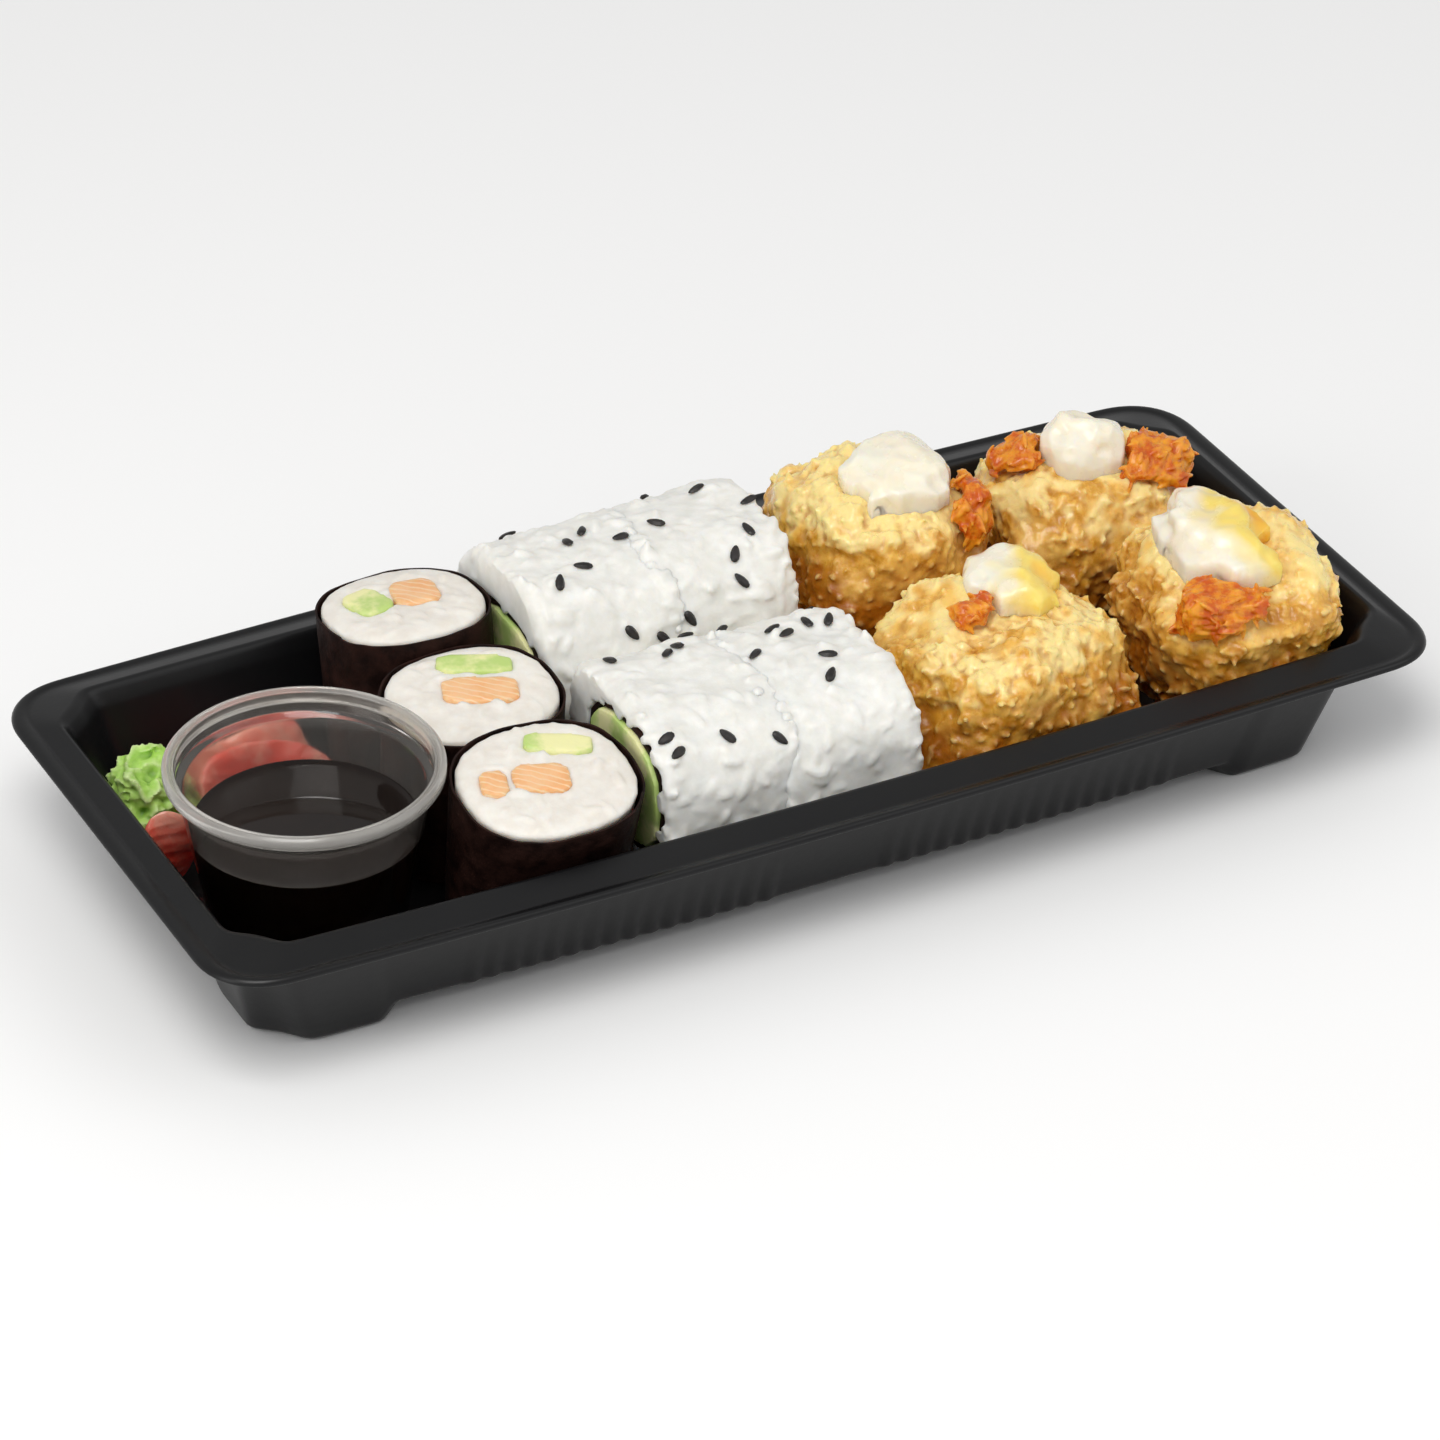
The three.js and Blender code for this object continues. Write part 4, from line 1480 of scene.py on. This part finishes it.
@dataclass
class RiceRoll:
    """A rice-outside roll lying down, with sesame seeds on its rice.

    Attributes:
        name: Start of the names of its solids.
        ends: Its two ends along X, in millimetres.
        middle: The middle of its section along Y and Z.
        half: The half sizes of its section.
        seed: Seed of its draws.
        pushed: How far its ends are pushed out, to close the cut between two rolls.
        spots: Where its seeds lie: a share of its length and the degrees round its section.
        end_round: Radius of its ends' edges.
        filled: How much of that rounding is filled where the end is pushed out.
        grains_from: The height above which grains lie on it, in millimetres.
        seed_size: Length, width, thickness and taper of a seed.
        seed_lift: How far a seed stands out of the rice.
    """

    name: str
    ends: tuple[float, float]
    middle: tuple[float, float]
    half: tuple[float, float]
    seed: int
    pushed: tuple[float, float]
    spots: tuple[tuple[float, float], ...]
    squareness: float = 3.1
    end_round: float = 1.7
    filled: float = 0.9
    grains_from: float = 5.0
    seed_size: tuple[float, float, float, float] = (3.2 * MM, 1.9 * MM, 1.15 * MM, 0.35)
    seed_lift: float = 0.3 * MM
    rice_lumps: tuple[Lumps, ...] = (Lumps(Form.SWELL, 9.0 * MM, 2.0 * MM, 0.55),)

    def skin_point(self, angle: float, share: float) -> np.ndarray:
        """Gives a point on the rice.

        Args:
            angle: The angle round the section.
            share: How far from one end to the other, from 0 to 1.

        Returns:
            The point, in millimetres.
        """
        x = self.ends[0] + (self.ends[1] - self.ends[0]) * share
        short = max(0.0, self.end_round - min(x - self.ends[0], self.ends[1] - x))
        rounding = self.end_round - math.sqrt(self.end_round**2 - short**2)
        dy, dz = superellipse(angle, self.half[0] - rounding, self.half[1] - rounding, self.squareness)
        return np.array((x, self.middle[0] + dy, self.middle[1] + dz))

    def sesame(self, rice: Piece) -> None:
        """Lays black sesame seeds on the rice.

        Args:
            rice: The rice.
        """
        rng = np.random.default_rng(self.seed)
        places = []
        for share, degrees in self.spots:
            at = Vector(self.skin_point(math.radians(degrees), share)) * MM
            outward = (at - Vector((at.x, self.middle[0] * MM, self.middle[1] * MM))).normalized()
            _, spot, facing, _ = rice.closest_point_on_mesh(at)
            spot = np.array(spot + outward * self.seed_lift)
            turn = rng.uniform(0.0, math.pi)
            places.append(lie_on(spot, np.array(facing + outward), turn, (1.0, 1.0, 1.0)))
        seeds = add_array(f"{self.name}_sesame", grain_pattern(*self.seed_size), places)
        finish_piece(seeds, Finishes.SESAME, None)

    def outward(self, points: np.ndarray) -> np.ndarray:
        """Finds the directions away from the roll's axis.

        Args:
            points: The points.

        Returns:
            The direction at each point.
        """
        middle = np.array((0.0, *self.middle)) * MM
        outward = (points - middle) * np.array((0.0, 1.0, 1.0))
        return outward / np.maximum(np.linalg.norm(outward, axis=1, keepdims=True), 1e-9)

    def close_cut(self, piece: Piece) -> None:
        """Fills the rounding at an end that is pushed out against the next roll.

        Args:
            piece: The rice.
        """
        points = points_of(piece)
        outward = self.outward(points)
        moved = points.copy()
        for end, push in zip(self.ends, self.pushed):
            if push:
                near = np.clip(self.end_round - np.abs(points[:, 0] / MM - end), 0.0, self.end_round)
                rounding = self.end_round - np.sqrt(self.end_round**2 - near**2)
                at_skin = np.abs(np.sum(normals_of(piece) * outward, axis=1)) > 0.25
                moved += outward * (self.filled * rounding * at_skin * MM)[:, None]
                moved[:, 0] += push * MM * near / self.end_round
        set_points(piece, moved)

    def rice(self) -> Piece:
        """Builds the rice, covered with grains.

        Returns:
            The rice.
        """
        piece = solid_copy(f"{self.name}_rice", f"{self.name}_grains")
        remesh(piece, 0.6 * MM, rounds=6)
        self.close_cut(piece)
        roughen(piece, self.rice_lumps, self.seed)
        points, normals = points_of(piece), normals_of(piece)
        facing_out = np.sum(self.outward(points) * normals, axis=1) > -0.2
        shows = facing_out & (points[:, 2] > self.grains_from * MM)
        piece = Grains(sunk=0.66 * MM).lay_on(piece, self.seed, shows)
        points = points_of(piece)
        low, high = (end + 1.2 * push for end, push in zip(self.ends, self.pushed))
        points[:, 0] = np.clip(points[:, 0], (low - 0.05) * MM, (high + 0.05) * MM)
        set_points(piece, points)
        finish_piece(piece, Finishes.RICE, "rice", f"{self.name}_rice")
        return piece

    def build(self) -> None:
        """Builds the rice, the seeds on it, the nori round the filling and the filling."""
        self.sesame(self.rice())
        sheet = solid_copy(f"{self.name}_nori", f"{self.name}_sheet")
        points = points_of(sheet)
        low, high = (end - push for end, push in zip(self.ends, self.pushed))
        points[:, 0] = np.clip(points[:, 0], low * MM, high * MM)
        set_points(sheet, points)
        finish_piece(sheet, Finishes.NORI, "nori", f"{self.name}_nori")
        core = solid_copy(f"{self.name}_avocado", f"{self.name}_core")
        remesh(core, 0.5 * MM)
        finish_piece(core, Finishes.AVOCADO, "avocado", f"{self.name}_avocado")


# ---- fried pieces --------------------------------------------------------------------------------------


def drop_base(piece: Piece, depth: float) -> None:
    """Lets a topping's underside down into what it lies on.

    Args:
        piece: The topping.
        depth: How far down.
    """
    points = points_of(piece)
    points[:, 2] -= depth * np.clip(-1.5 * normals_of(piece)[:, 2], 0.0, 1.0)
    set_points(piece, points)


def keep_within(piece: Piece, node: str) -> None:
    """Lowers a piece's upper half so that its top is no higher than its solid's.

    Args:
        piece: The piece.
        node: The solid's name.
    """
    points = points_of(piece)
    low, high, top = points[:, 2].min(), points[:, 2].max(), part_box(node)[1][2]
    if high > top:
        middle = (low + high) / 2
        upper = points[:, 2] > middle
        points[upper, 2] = middle + (points[upper, 2] - middle) * (top - middle) / (high - middle)
        set_points(piece, points)


@dataclass
class FriedPiece:
    """A crumbed, fried piece with its mayonnaise and crab.

    Attributes:
        place: Which of the four it is.
        crab: The crab that lies on it.
        seed: Seed of its crumb.
        toast: How brown its foot is, from 0 to 1; that brown is painted shade.
        toast_top: How far up the brown reaches, as a share of its height; above it the crumb is paler, as
            painted light.
        yolk: Middle and reach of the yellow patch on its mayonnaise, in millimetres.
        folds: The large lumps of its crumb; crumb_lumps are the small ones.
        calm: Where its crumb is rough, above 0, or calm batter, below 0.
        rough_share: How high the small lumps stand, and how thickly the chips lie, by that.
        crisp_share: How thickly the small crisps lie, by that.
        batter_share: How pale the batter is, by that.
        brown_share: How brown it is, by how far a point lies below toast_top, as painted shade below and
            painted light above.
        chip: Size of a chip, and crisp that of a crisp.
        chip_sizes: Their least and greatest scale.
        chip_jags: How far in and out a chip's corners lie.
        chip_lean: How unevenly the chips lean, and shred_lean the shreds.
        patches: How the brown comes and goes.
        yolk_ragged: How ragged the yellow patch is, in millimetres like yolk_edge, which it fades over.
        shred: Length, width and thickness of a shred of crab.
        shred_sizes: Least and greatest scale of a shred.
        shred_sway: How far the shreds turn off the way that they lie.
    """

    place: str
    crab: tuple[str, ...]
    seed: int
    toast: float
    toast_top: float
    yolk: tuple[float, float, float, float] = (0.0, 0.0, 0.0, 0.0)
    folds: tuple[Lumps, ...] = (
        Lumps(Form.SWELL, 11.0 * MM, 3.6 * MM, 0.8),
        Lumps(Form.SWELL, 5.0 * MM, 1.6 * MM, 0.6),
    )
    crumb_lumps: tuple[Lumps, ...] = (
        Lumps(Form.PEBBLE, 4.4 * MM, 1.3 * MM, 0.8),
        Lumps(Form.PEBBLE, 1.8 * MM, 0.6 * MM, 0.6),
    )
    calm: Lumps = Lumps(Form.SWELL, 9.0 * MM, 2.2)
    rough_share: Share = Share(0.62, 1.0, 0.12, 1.0)
    crisp_share: Share = Share(0.5, 1.3, 0.06, 0.9)
    batter_share: Share = Share(0.38, -1.0, 0.0, 1.0)
    brown_share: Share = Share(0.0, 4.0, -0.25, 1.2)
    chip: float = 1.6 * MM
    chips_apart: float = 2.3 * MM
    chip_sizes: tuple[Point, Point] = ((0.7, 0.4, 0.4), (1.8, 1.0, 1.0))
    chip_jags: tuple[float, float] = (0.65, 1.35)
    chip_lean: float = 0.3
    crisp: float = 1.1 * MM
    crisps_apart: float = 1.5 * MM
    patches: tuple[Lumps, ...] = (Lumps(Form.SWELL, 8.0 * MM, 1.0), Lumps(Form.SWELL, 2.4 * MM, 1.0))
    sauce_lumps: tuple[Lumps, ...] = (
        Lumps(Form.SWELL, 5.0 * MM, 1.4 * MM, 0.6),
        Lumps(Form.RIDGE, 3.6 * MM, 0.45 * MM, 0.6),
    )
    yolk_ragged: Lumps = Lumps(Form.SWELL, 4.0, 1.6)
    yolk_edge: float = 5.0
    crab_lumps: tuple[Lumps, ...] = (Lumps(Form.SWELL, 3.6 * MM, 2.4 * MM, 0.7),)
    shred: Point = (3.6 * MM, 1.2 * MM, 0.9 * MM)
    shreds_apart: float = 1.3 * MM
    shred_sizes: tuple[float, float] = (0.6, 1.2)
    shred_lean: float = 0.12
    shred_sway: float = 0.3

    def chip_pattern(self, size: float) -> Piece:
        """Models one jagged crumb.

        Args:
            size: Its size.

        Returns:
            The crumb.
        """
        bpy.ops.object.select_all(action="DESELECT")
        bpy.ops.mesh.primitive_ico_sphere_add(subdivisions=1, radius=size / 2)
        chip = bpy.context.active_object
        rng = np.random.default_rng(self.seed)
        points = points_of(chip)
        set_points(chip, points * rng.uniform(*self.chip_jags, (len(points), 1)))
        return chip

    def calmness(self, piece: Piece) -> np.ndarray:
        """Tells rough crumb, above 0, from calm batter, below 0, at each point of the crumb."""
        return self.calm.heights(points_of(piece), self.seed + 6.0)

    def add_chips(
        self, piece: Piece, size: float, apart: float, share: np.ndarray, rng: np.random.Generator
    ) -> Piece:
        """Scatters jagged chips over the crumb.

        Args:
            piece: The crumb.
            size: The chips' size.
            apart: How near they lie to each other.
            share: How likely a chip may lie at each point of the piece.
            rng: The draw.

        Returns:
            The crumb with its chips.
        """
        shows = (normals_of(piece)[:, 2] > -0.4) & (rng.random(len(share)) < share)
        spots, facings = scatter_points(piece, apart, self.seed, shows)
        places = []
        for spot, facing in zip(spots, facings):
            leaning = facing + rng.normal(0, self.chip_lean, 3)
            turn = rng.uniform(0, 2 * math.pi)
            places.append(lie_on(spot, leaning, turn, tuple(rng.uniform(*self.chip_sizes))))
        return join_copies(piece, self.chip_pattern(size), places)

    def crumb(self) -> None:
        """Builds the fried crumb: lumps, crevices and jagged chips."""
        name = f"crumbed_{self.place}"
        piece = solid_copy(f"fried_{self.place}", name)
        remesh(piece, 0.6 * MM, rounds=6)
        roughen(piece, self.folds, self.seed)
        rough = self.rough_share.of(self.calmness(piece))
        roughen(piece, self.crumb_lumps, self.seed, rough)
        rng = np.random.default_rng(self.seed)
        piece = self.add_chips(piece, self.chip, self.chips_apart, rough, rng)
        crisps = self.crisp_share.of(self.calmness(piece))
        piece = self.add_chips(piece, self.crisp, self.crisps_apart, crisps, rng)
        remesh(piece, 0.36 * MM, rounds=1)
        keep_crags(piece, 0.9 * MM, rounds=10)
        keep_value(piece, "batter", self.batter_share.of(self.calmness(piece)))
        points = points_of(piece)
        low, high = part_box(f"fried_{self.place}")
        # Browner toward the foot as painted shade and paler toward the top as painted light; the random
        # patches are the crumb's own uneven browning.
        rise = (points[:, 2] - low[2]) / (high[2] - low[2])
        browning = self.brown_share.of(self.toast_top - rise)
        patches = sum(layer.heights(points, self.seed + 3.0) for layer in self.patches)
        keep_value(piece, "toast", np.clip(self.toast * browning + patches, -0.3, 1.0))
        finish_piece(piece, Finishes.FRIED, "fried", f"fried_{self.place}")

    def sauce(self) -> None:
        """Builds the dollop of mayonnaise."""
        piece = solid_copy(f"mayonnaise_{self.place}", f"dollop_{self.place}")
        remesh(piece, 0.4 * MM, rounds=14)
        roughen(piece, self.sauce_lumps, self.seed)
        drop_base(piece, depth=3.0 * MM)
        apply_modifier(piece, "SMOOTH", factor=0.5, iterations=4)
        keep_within(piece, f"mayonnaise_{self.place}")
        points = points_of(piece) / MM
        *middle, reach = self.yolk
        far = np.linalg.norm(points - np.array(middle), axis=1)
        yolk = (reach - far) / self.yolk_edge + self.yolk_ragged.heights(points, self.seed) + 0.5
        keep_value(piece, "yolk", np.clip(yolk, 0.0, 3.0) * (reach > 0))
        finish_piece(piece, Finishes.MAYONNAISE, "mayonnaise", f"mayonnaise_{self.place}")

    def build(self) -> None:
        """Builds the crumb and its toppings."""
        self.crumb()
        self.sauce()
        for label in self.crab:
            self.flakes(label)

    def flakes(self, label: str) -> None:
        """Builds a lump of crab out of shreds that lie much the same way.

        Args:
            label: Which crab it is.
        """
        piece = solid_copy(f"crab_{label}", f"flakes_{label}")
        remesh(piece, 0.35 * MM, rounds=5)
        roughen(piece, self.crab_lumps, self.seed)
        drop_base(piece, depth=1.5 * MM)
        rng = np.random.default_rng(self.seed + len(label))
        along = rng.uniform(0.0, math.pi)
        spots, facings = scatter_points(piece, self.shreds_apart, self.seed, normals_of(piece)[:, 2] > -0.5)
        places = []
        for spot, facing in zip(spots, facings):
            leaning = facing + rng.normal(0, self.shred_lean, 3)
            turn = along + rng.normal(0, self.shred_sway)
            places.append(lie_on(spot, leaning, turn, tuple(rng.uniform(*self.shred_sizes, 3))))
        piece = join_copies(piece, grain_pattern(*self.shred), places)
        remesh(piece, 0.26 * MM, rounds=1)
        keep_within(piece, f"crab_{label}")
        keep_crags(piece, 0.8 * MM, rounds=10)
        finish_piece(piece, Finishes.CRAB, "crab", f"crab_{label}")


# ---- wasabi and ginger ---------------------------------------------------------------------------------


@dataclass
class Condiments:
    """The wasabi and the pickled ginger."""

    slices: tuple[str, ...] = ("a", "b", "c")
    paste_lumps: tuple[Lumps, ...] = (
        Lumps(Form.RIDGE, 3.8 * MM, 1.3 * MM, 0.75),
        Lumps(Form.RIDGE, 1.6 * MM, 0.6 * MM, 0.5),
    )
    slice_lumps: tuple[Lumps, ...] = (
        Lumps(Form.SWELL, 5.0 * MM, 0.9 * MM, 0.5),
        Lumps(Form.RIDGE, 2.0 * MM, 0.2 * MM, 0.5, (3.0, 1.0, 1.0)),
    )

    def build(self) -> None:
        """Builds the mound and the slices."""
        mound = solid_copy("wasabi", "wasabi_mound")
        remesh(mound, 0.35 * MM, rounds=6)
        roughen(mound, self.paste_lumps, seed=4.0)
        keep_crags(mound, 1.4 * MM)
        finish_piece(mound, Finishes.WASABI, "wasabi", "wasabi")
        for label in self.slices:
            piece = solid_copy(f"ginger_slice_{label}", f"ginger_{label}")
            apply_modifier(piece, "SUBSURF", levels=3, render_levels=3)
            roughen(piece, self.slice_lumps, seed=7.0)
            finish_piece(piece, Finishes.GINGER, "ginger", f"ginger_slice_{label}", angle=70.0)


# ---- the studio ----------------------------------------------------------------------------------------


@dataclass
class Studio:
    """The floor, the lights and the camera."""

    azimuth: float = math.radians(-27.99)
    elevation: float = math.radians(32.92)
    roll: float = math.radians(0.79)
    distance: float = 1.0418
    target: Vector = field(default_factory=lambda: Vector((0.0073, 0.016, 0.003)))
    lens: float = 158.465
    floor_size: float = 6.0
    floor_colour: Colour = (0.96, 0.96, 0.96)
    floor_roughness: float = 0.85
    sky_strength: float = 0.5

    def back(self) -> Vector:
        """Finds the direction from the tray to the camera.

        Returns:
            The direction.
        """
        return Vector(
            (
                math.sin(self.azimuth) * math.cos(self.elevation),
                -math.cos(self.azimuth) * math.cos(self.elevation),
                math.sin(self.elevation),
            )
        )

    def camera(self) -> None:
        """Sets the camera up."""
        data = bpy.data.cameras.new("camera")
        data.lens = self.lens
        data.sensor_width = 36.0
        data.sensor_fit = "HORIZONTAL"
        data.clip_start = 0.01
        data.clip_end = 50.0
        camera = new_piece("camera", data)
        back = self.back()
        right = Vector((math.cos(self.azimuth), math.sin(self.azimuth), 0.0))
        up = back.cross(right)
        c, s = math.cos(self.roll), math.sin(self.roll)
        rolled_right = c * right + s * up
        rolled_up = c * up - s * right
        turned = Matrix((rolled_right, rolled_up, back)).transposed().to_4x4()
        camera.matrix_world = Matrix.Translation(self.target + back * self.distance) @ turned
        bpy.context.scene.camera = camera

    def light(self, name: str, place: Point, size: float, power: float, colour: Colour) -> None:
        """Adds a soft square light that faces the tray.

        Args:
            name: Its name.
            place: Where it hangs.
            size: Its side.
            power: Its power in watts.
            colour: Its colour.
        """
        data = bpy.data.lights.new(name, "AREA")
        data.shape = "SQUARE"
        data.size = size
        data.energy = power
        data.color = colour
        lamp = new_piece(name, data)
        lamp.location = place
        lamp.rotation_mode = "QUATERNION"
        lamp.rotation_quaternion = Vector(place).to_track_quat("Z", "Y")

    def floor(self) -> None:
        """Lays the pale floor."""
        bpy.ops.object.select_all(action="DESELECT")
        bpy.ops.mesh.primitive_plane_add(size=self.floor_size)
        floor = bpy.context.active_object
        floor.name = "floor"
        material = bpy.data.materials.new("pale_floor")
        material.use_nodes = True
        shader = material.node_tree.nodes["Principled BSDF"]
        shader.inputs["Base Color"].default_value = rgba(self.floor_colour)
        shader.inputs["Roughness"].default_value = self.floor_roughness
        shader.inputs["Specular IOR Level"].default_value = 0.1
        floor.data.materials.append(material)

    def build(self) -> None:
        """Sets the studio up."""
        scene = bpy.context.scene
        scene.view_settings.view_transform = "Standard"
        world = bpy.data.worlds.new("studio")
        scene.world = world
        world.use_nodes = True
        background = world.node_tree.nodes["Background"]
        background.inputs["Color"].default_value = rgba((1.0, 1.0, 1.0))
        background.inputs["Strength"].default_value = self.sky_strength
        self.floor()
        self.light("key", (-0.42, -0.45, 1.05), 0.6, 7.2, (1.0, 0.99, 0.97))
        self.light("fill", (0.7, -0.6, 0.8), 0.8, 1.8, (0.98, 0.99, 1.0))
        self.light("side", (-1.0, -0.15, 0.55), 0.5, 1.6, (1.0, 1.0, 1.0))
        self.camera()


def main() -> None:
    """Builds every part of the tray in order."""
    fish = {"avocado": Finishes.AVOCADO, "salmon": Finishes.SALMON}
    parts = [
        Tray(),
        SauceCup(),
        NoriRoll("nori_roll_back", (-45.0, 25.9, 34.3), (13.9, 12.4), -4.0, (-45.2, 20.8), fish),
        NoriRoll("nori_roll_middle", (-45.1, 0.4, 32.2), (14.6, 12.6), 5.0, (-45.2, 0.0), fish, seam=250.0),
        NoriRoll(
            "nori_roll_front", (-45.2, -26.3, 31.9), (14.8, 13.5), 10.0, (-45.2, -20.8),
            {**fish, "salmon_end": Finishes.SALMON}, seam=330.0,
        ),
        RiceRoll(
            "rice_roll_back_left", ends=(-30.4, -7.1), middle=(20.2, 21.6), half=(17.8, 18.8), seed=3,
            pushed=(0.0, 2.0),
            spots=(
                (0.71, 83), (0.55, 88), (0.92, 90), (0.53, 97), (0.27, 107),
                (0.66, 153), (0.9, 161), (0.35, 42), (0.8, 25),
            ),
        ),
        RiceRoll(
            "rice_roll_back_right", ends=(-6.5, 16.1), middle=(20.6, 22.1), half=(17.2, 18.8), seed=5,
            pushed=(-2.0, 0.0),
            spots=(
                (0.66, 76), (0.92, 90), (0.18, 90), (0.74, 107), (0.56, 121),
                (0.54, 141), (0.1, 158), (0.4, 45), (0.8, 22),
            ),
        ),
        RiceRoll(
            "rice_roll_front_left", ends=(-28.8, -6.5), middle=(-17.0, 20.5), half=(18.4, 16.6), seed=8,
            pushed=(0.0, 2.0),
            spots=(
                (0.69, 72), (0.58, 76), (0.2, 65), (0.12, 122), (0.16, 134),
                (0.56, 131), (0.93, 143), (0.85, 56), (0.4, 35),
            ),
        ),
        RiceRoll(
            "rice_roll_front_right", ends=(-5.9, 16.5), middle=(-17.2, 20.2), half=(18.6, 16.3), seed=13,
            pushed=(-2.0, 0.0),
            spots=(
                (0.1, 58), (0.45, 82), (0.38, 77), (0.66, 77), (0.8, 80),
                (0.12, 88), (0.57, 94), (0.48, 106), (0.85, 40),
            ),
        ),
        FriedPiece("back_left", ("back_left",), seed=2, toast=1.5, toast_top=0.76),
        FriedPiece("back_right", ("back_right_a", "back_right_b"), seed=5, toast=0.8, toast_top=0.74),
        FriedPiece(
            "front_left", ("front_left",), seed=9, toast=0.75, toast_top=0.8,
            yolk=(48.5, -19.5, 39.0, 8.0),
        ),
        FriedPiece(
            "front_right", ("front_right",), seed=12, toast=0.75, toast_top=0.78,
            yolk=(90.5, -21.5, 38.0, 14.0),
        ),
        Condiments(),
        Studio(),
    ]
    for part in parts:
        part.build()
        LOG.info("built %s", type(part).__name__)


if __name__ == "__main__":
    main()
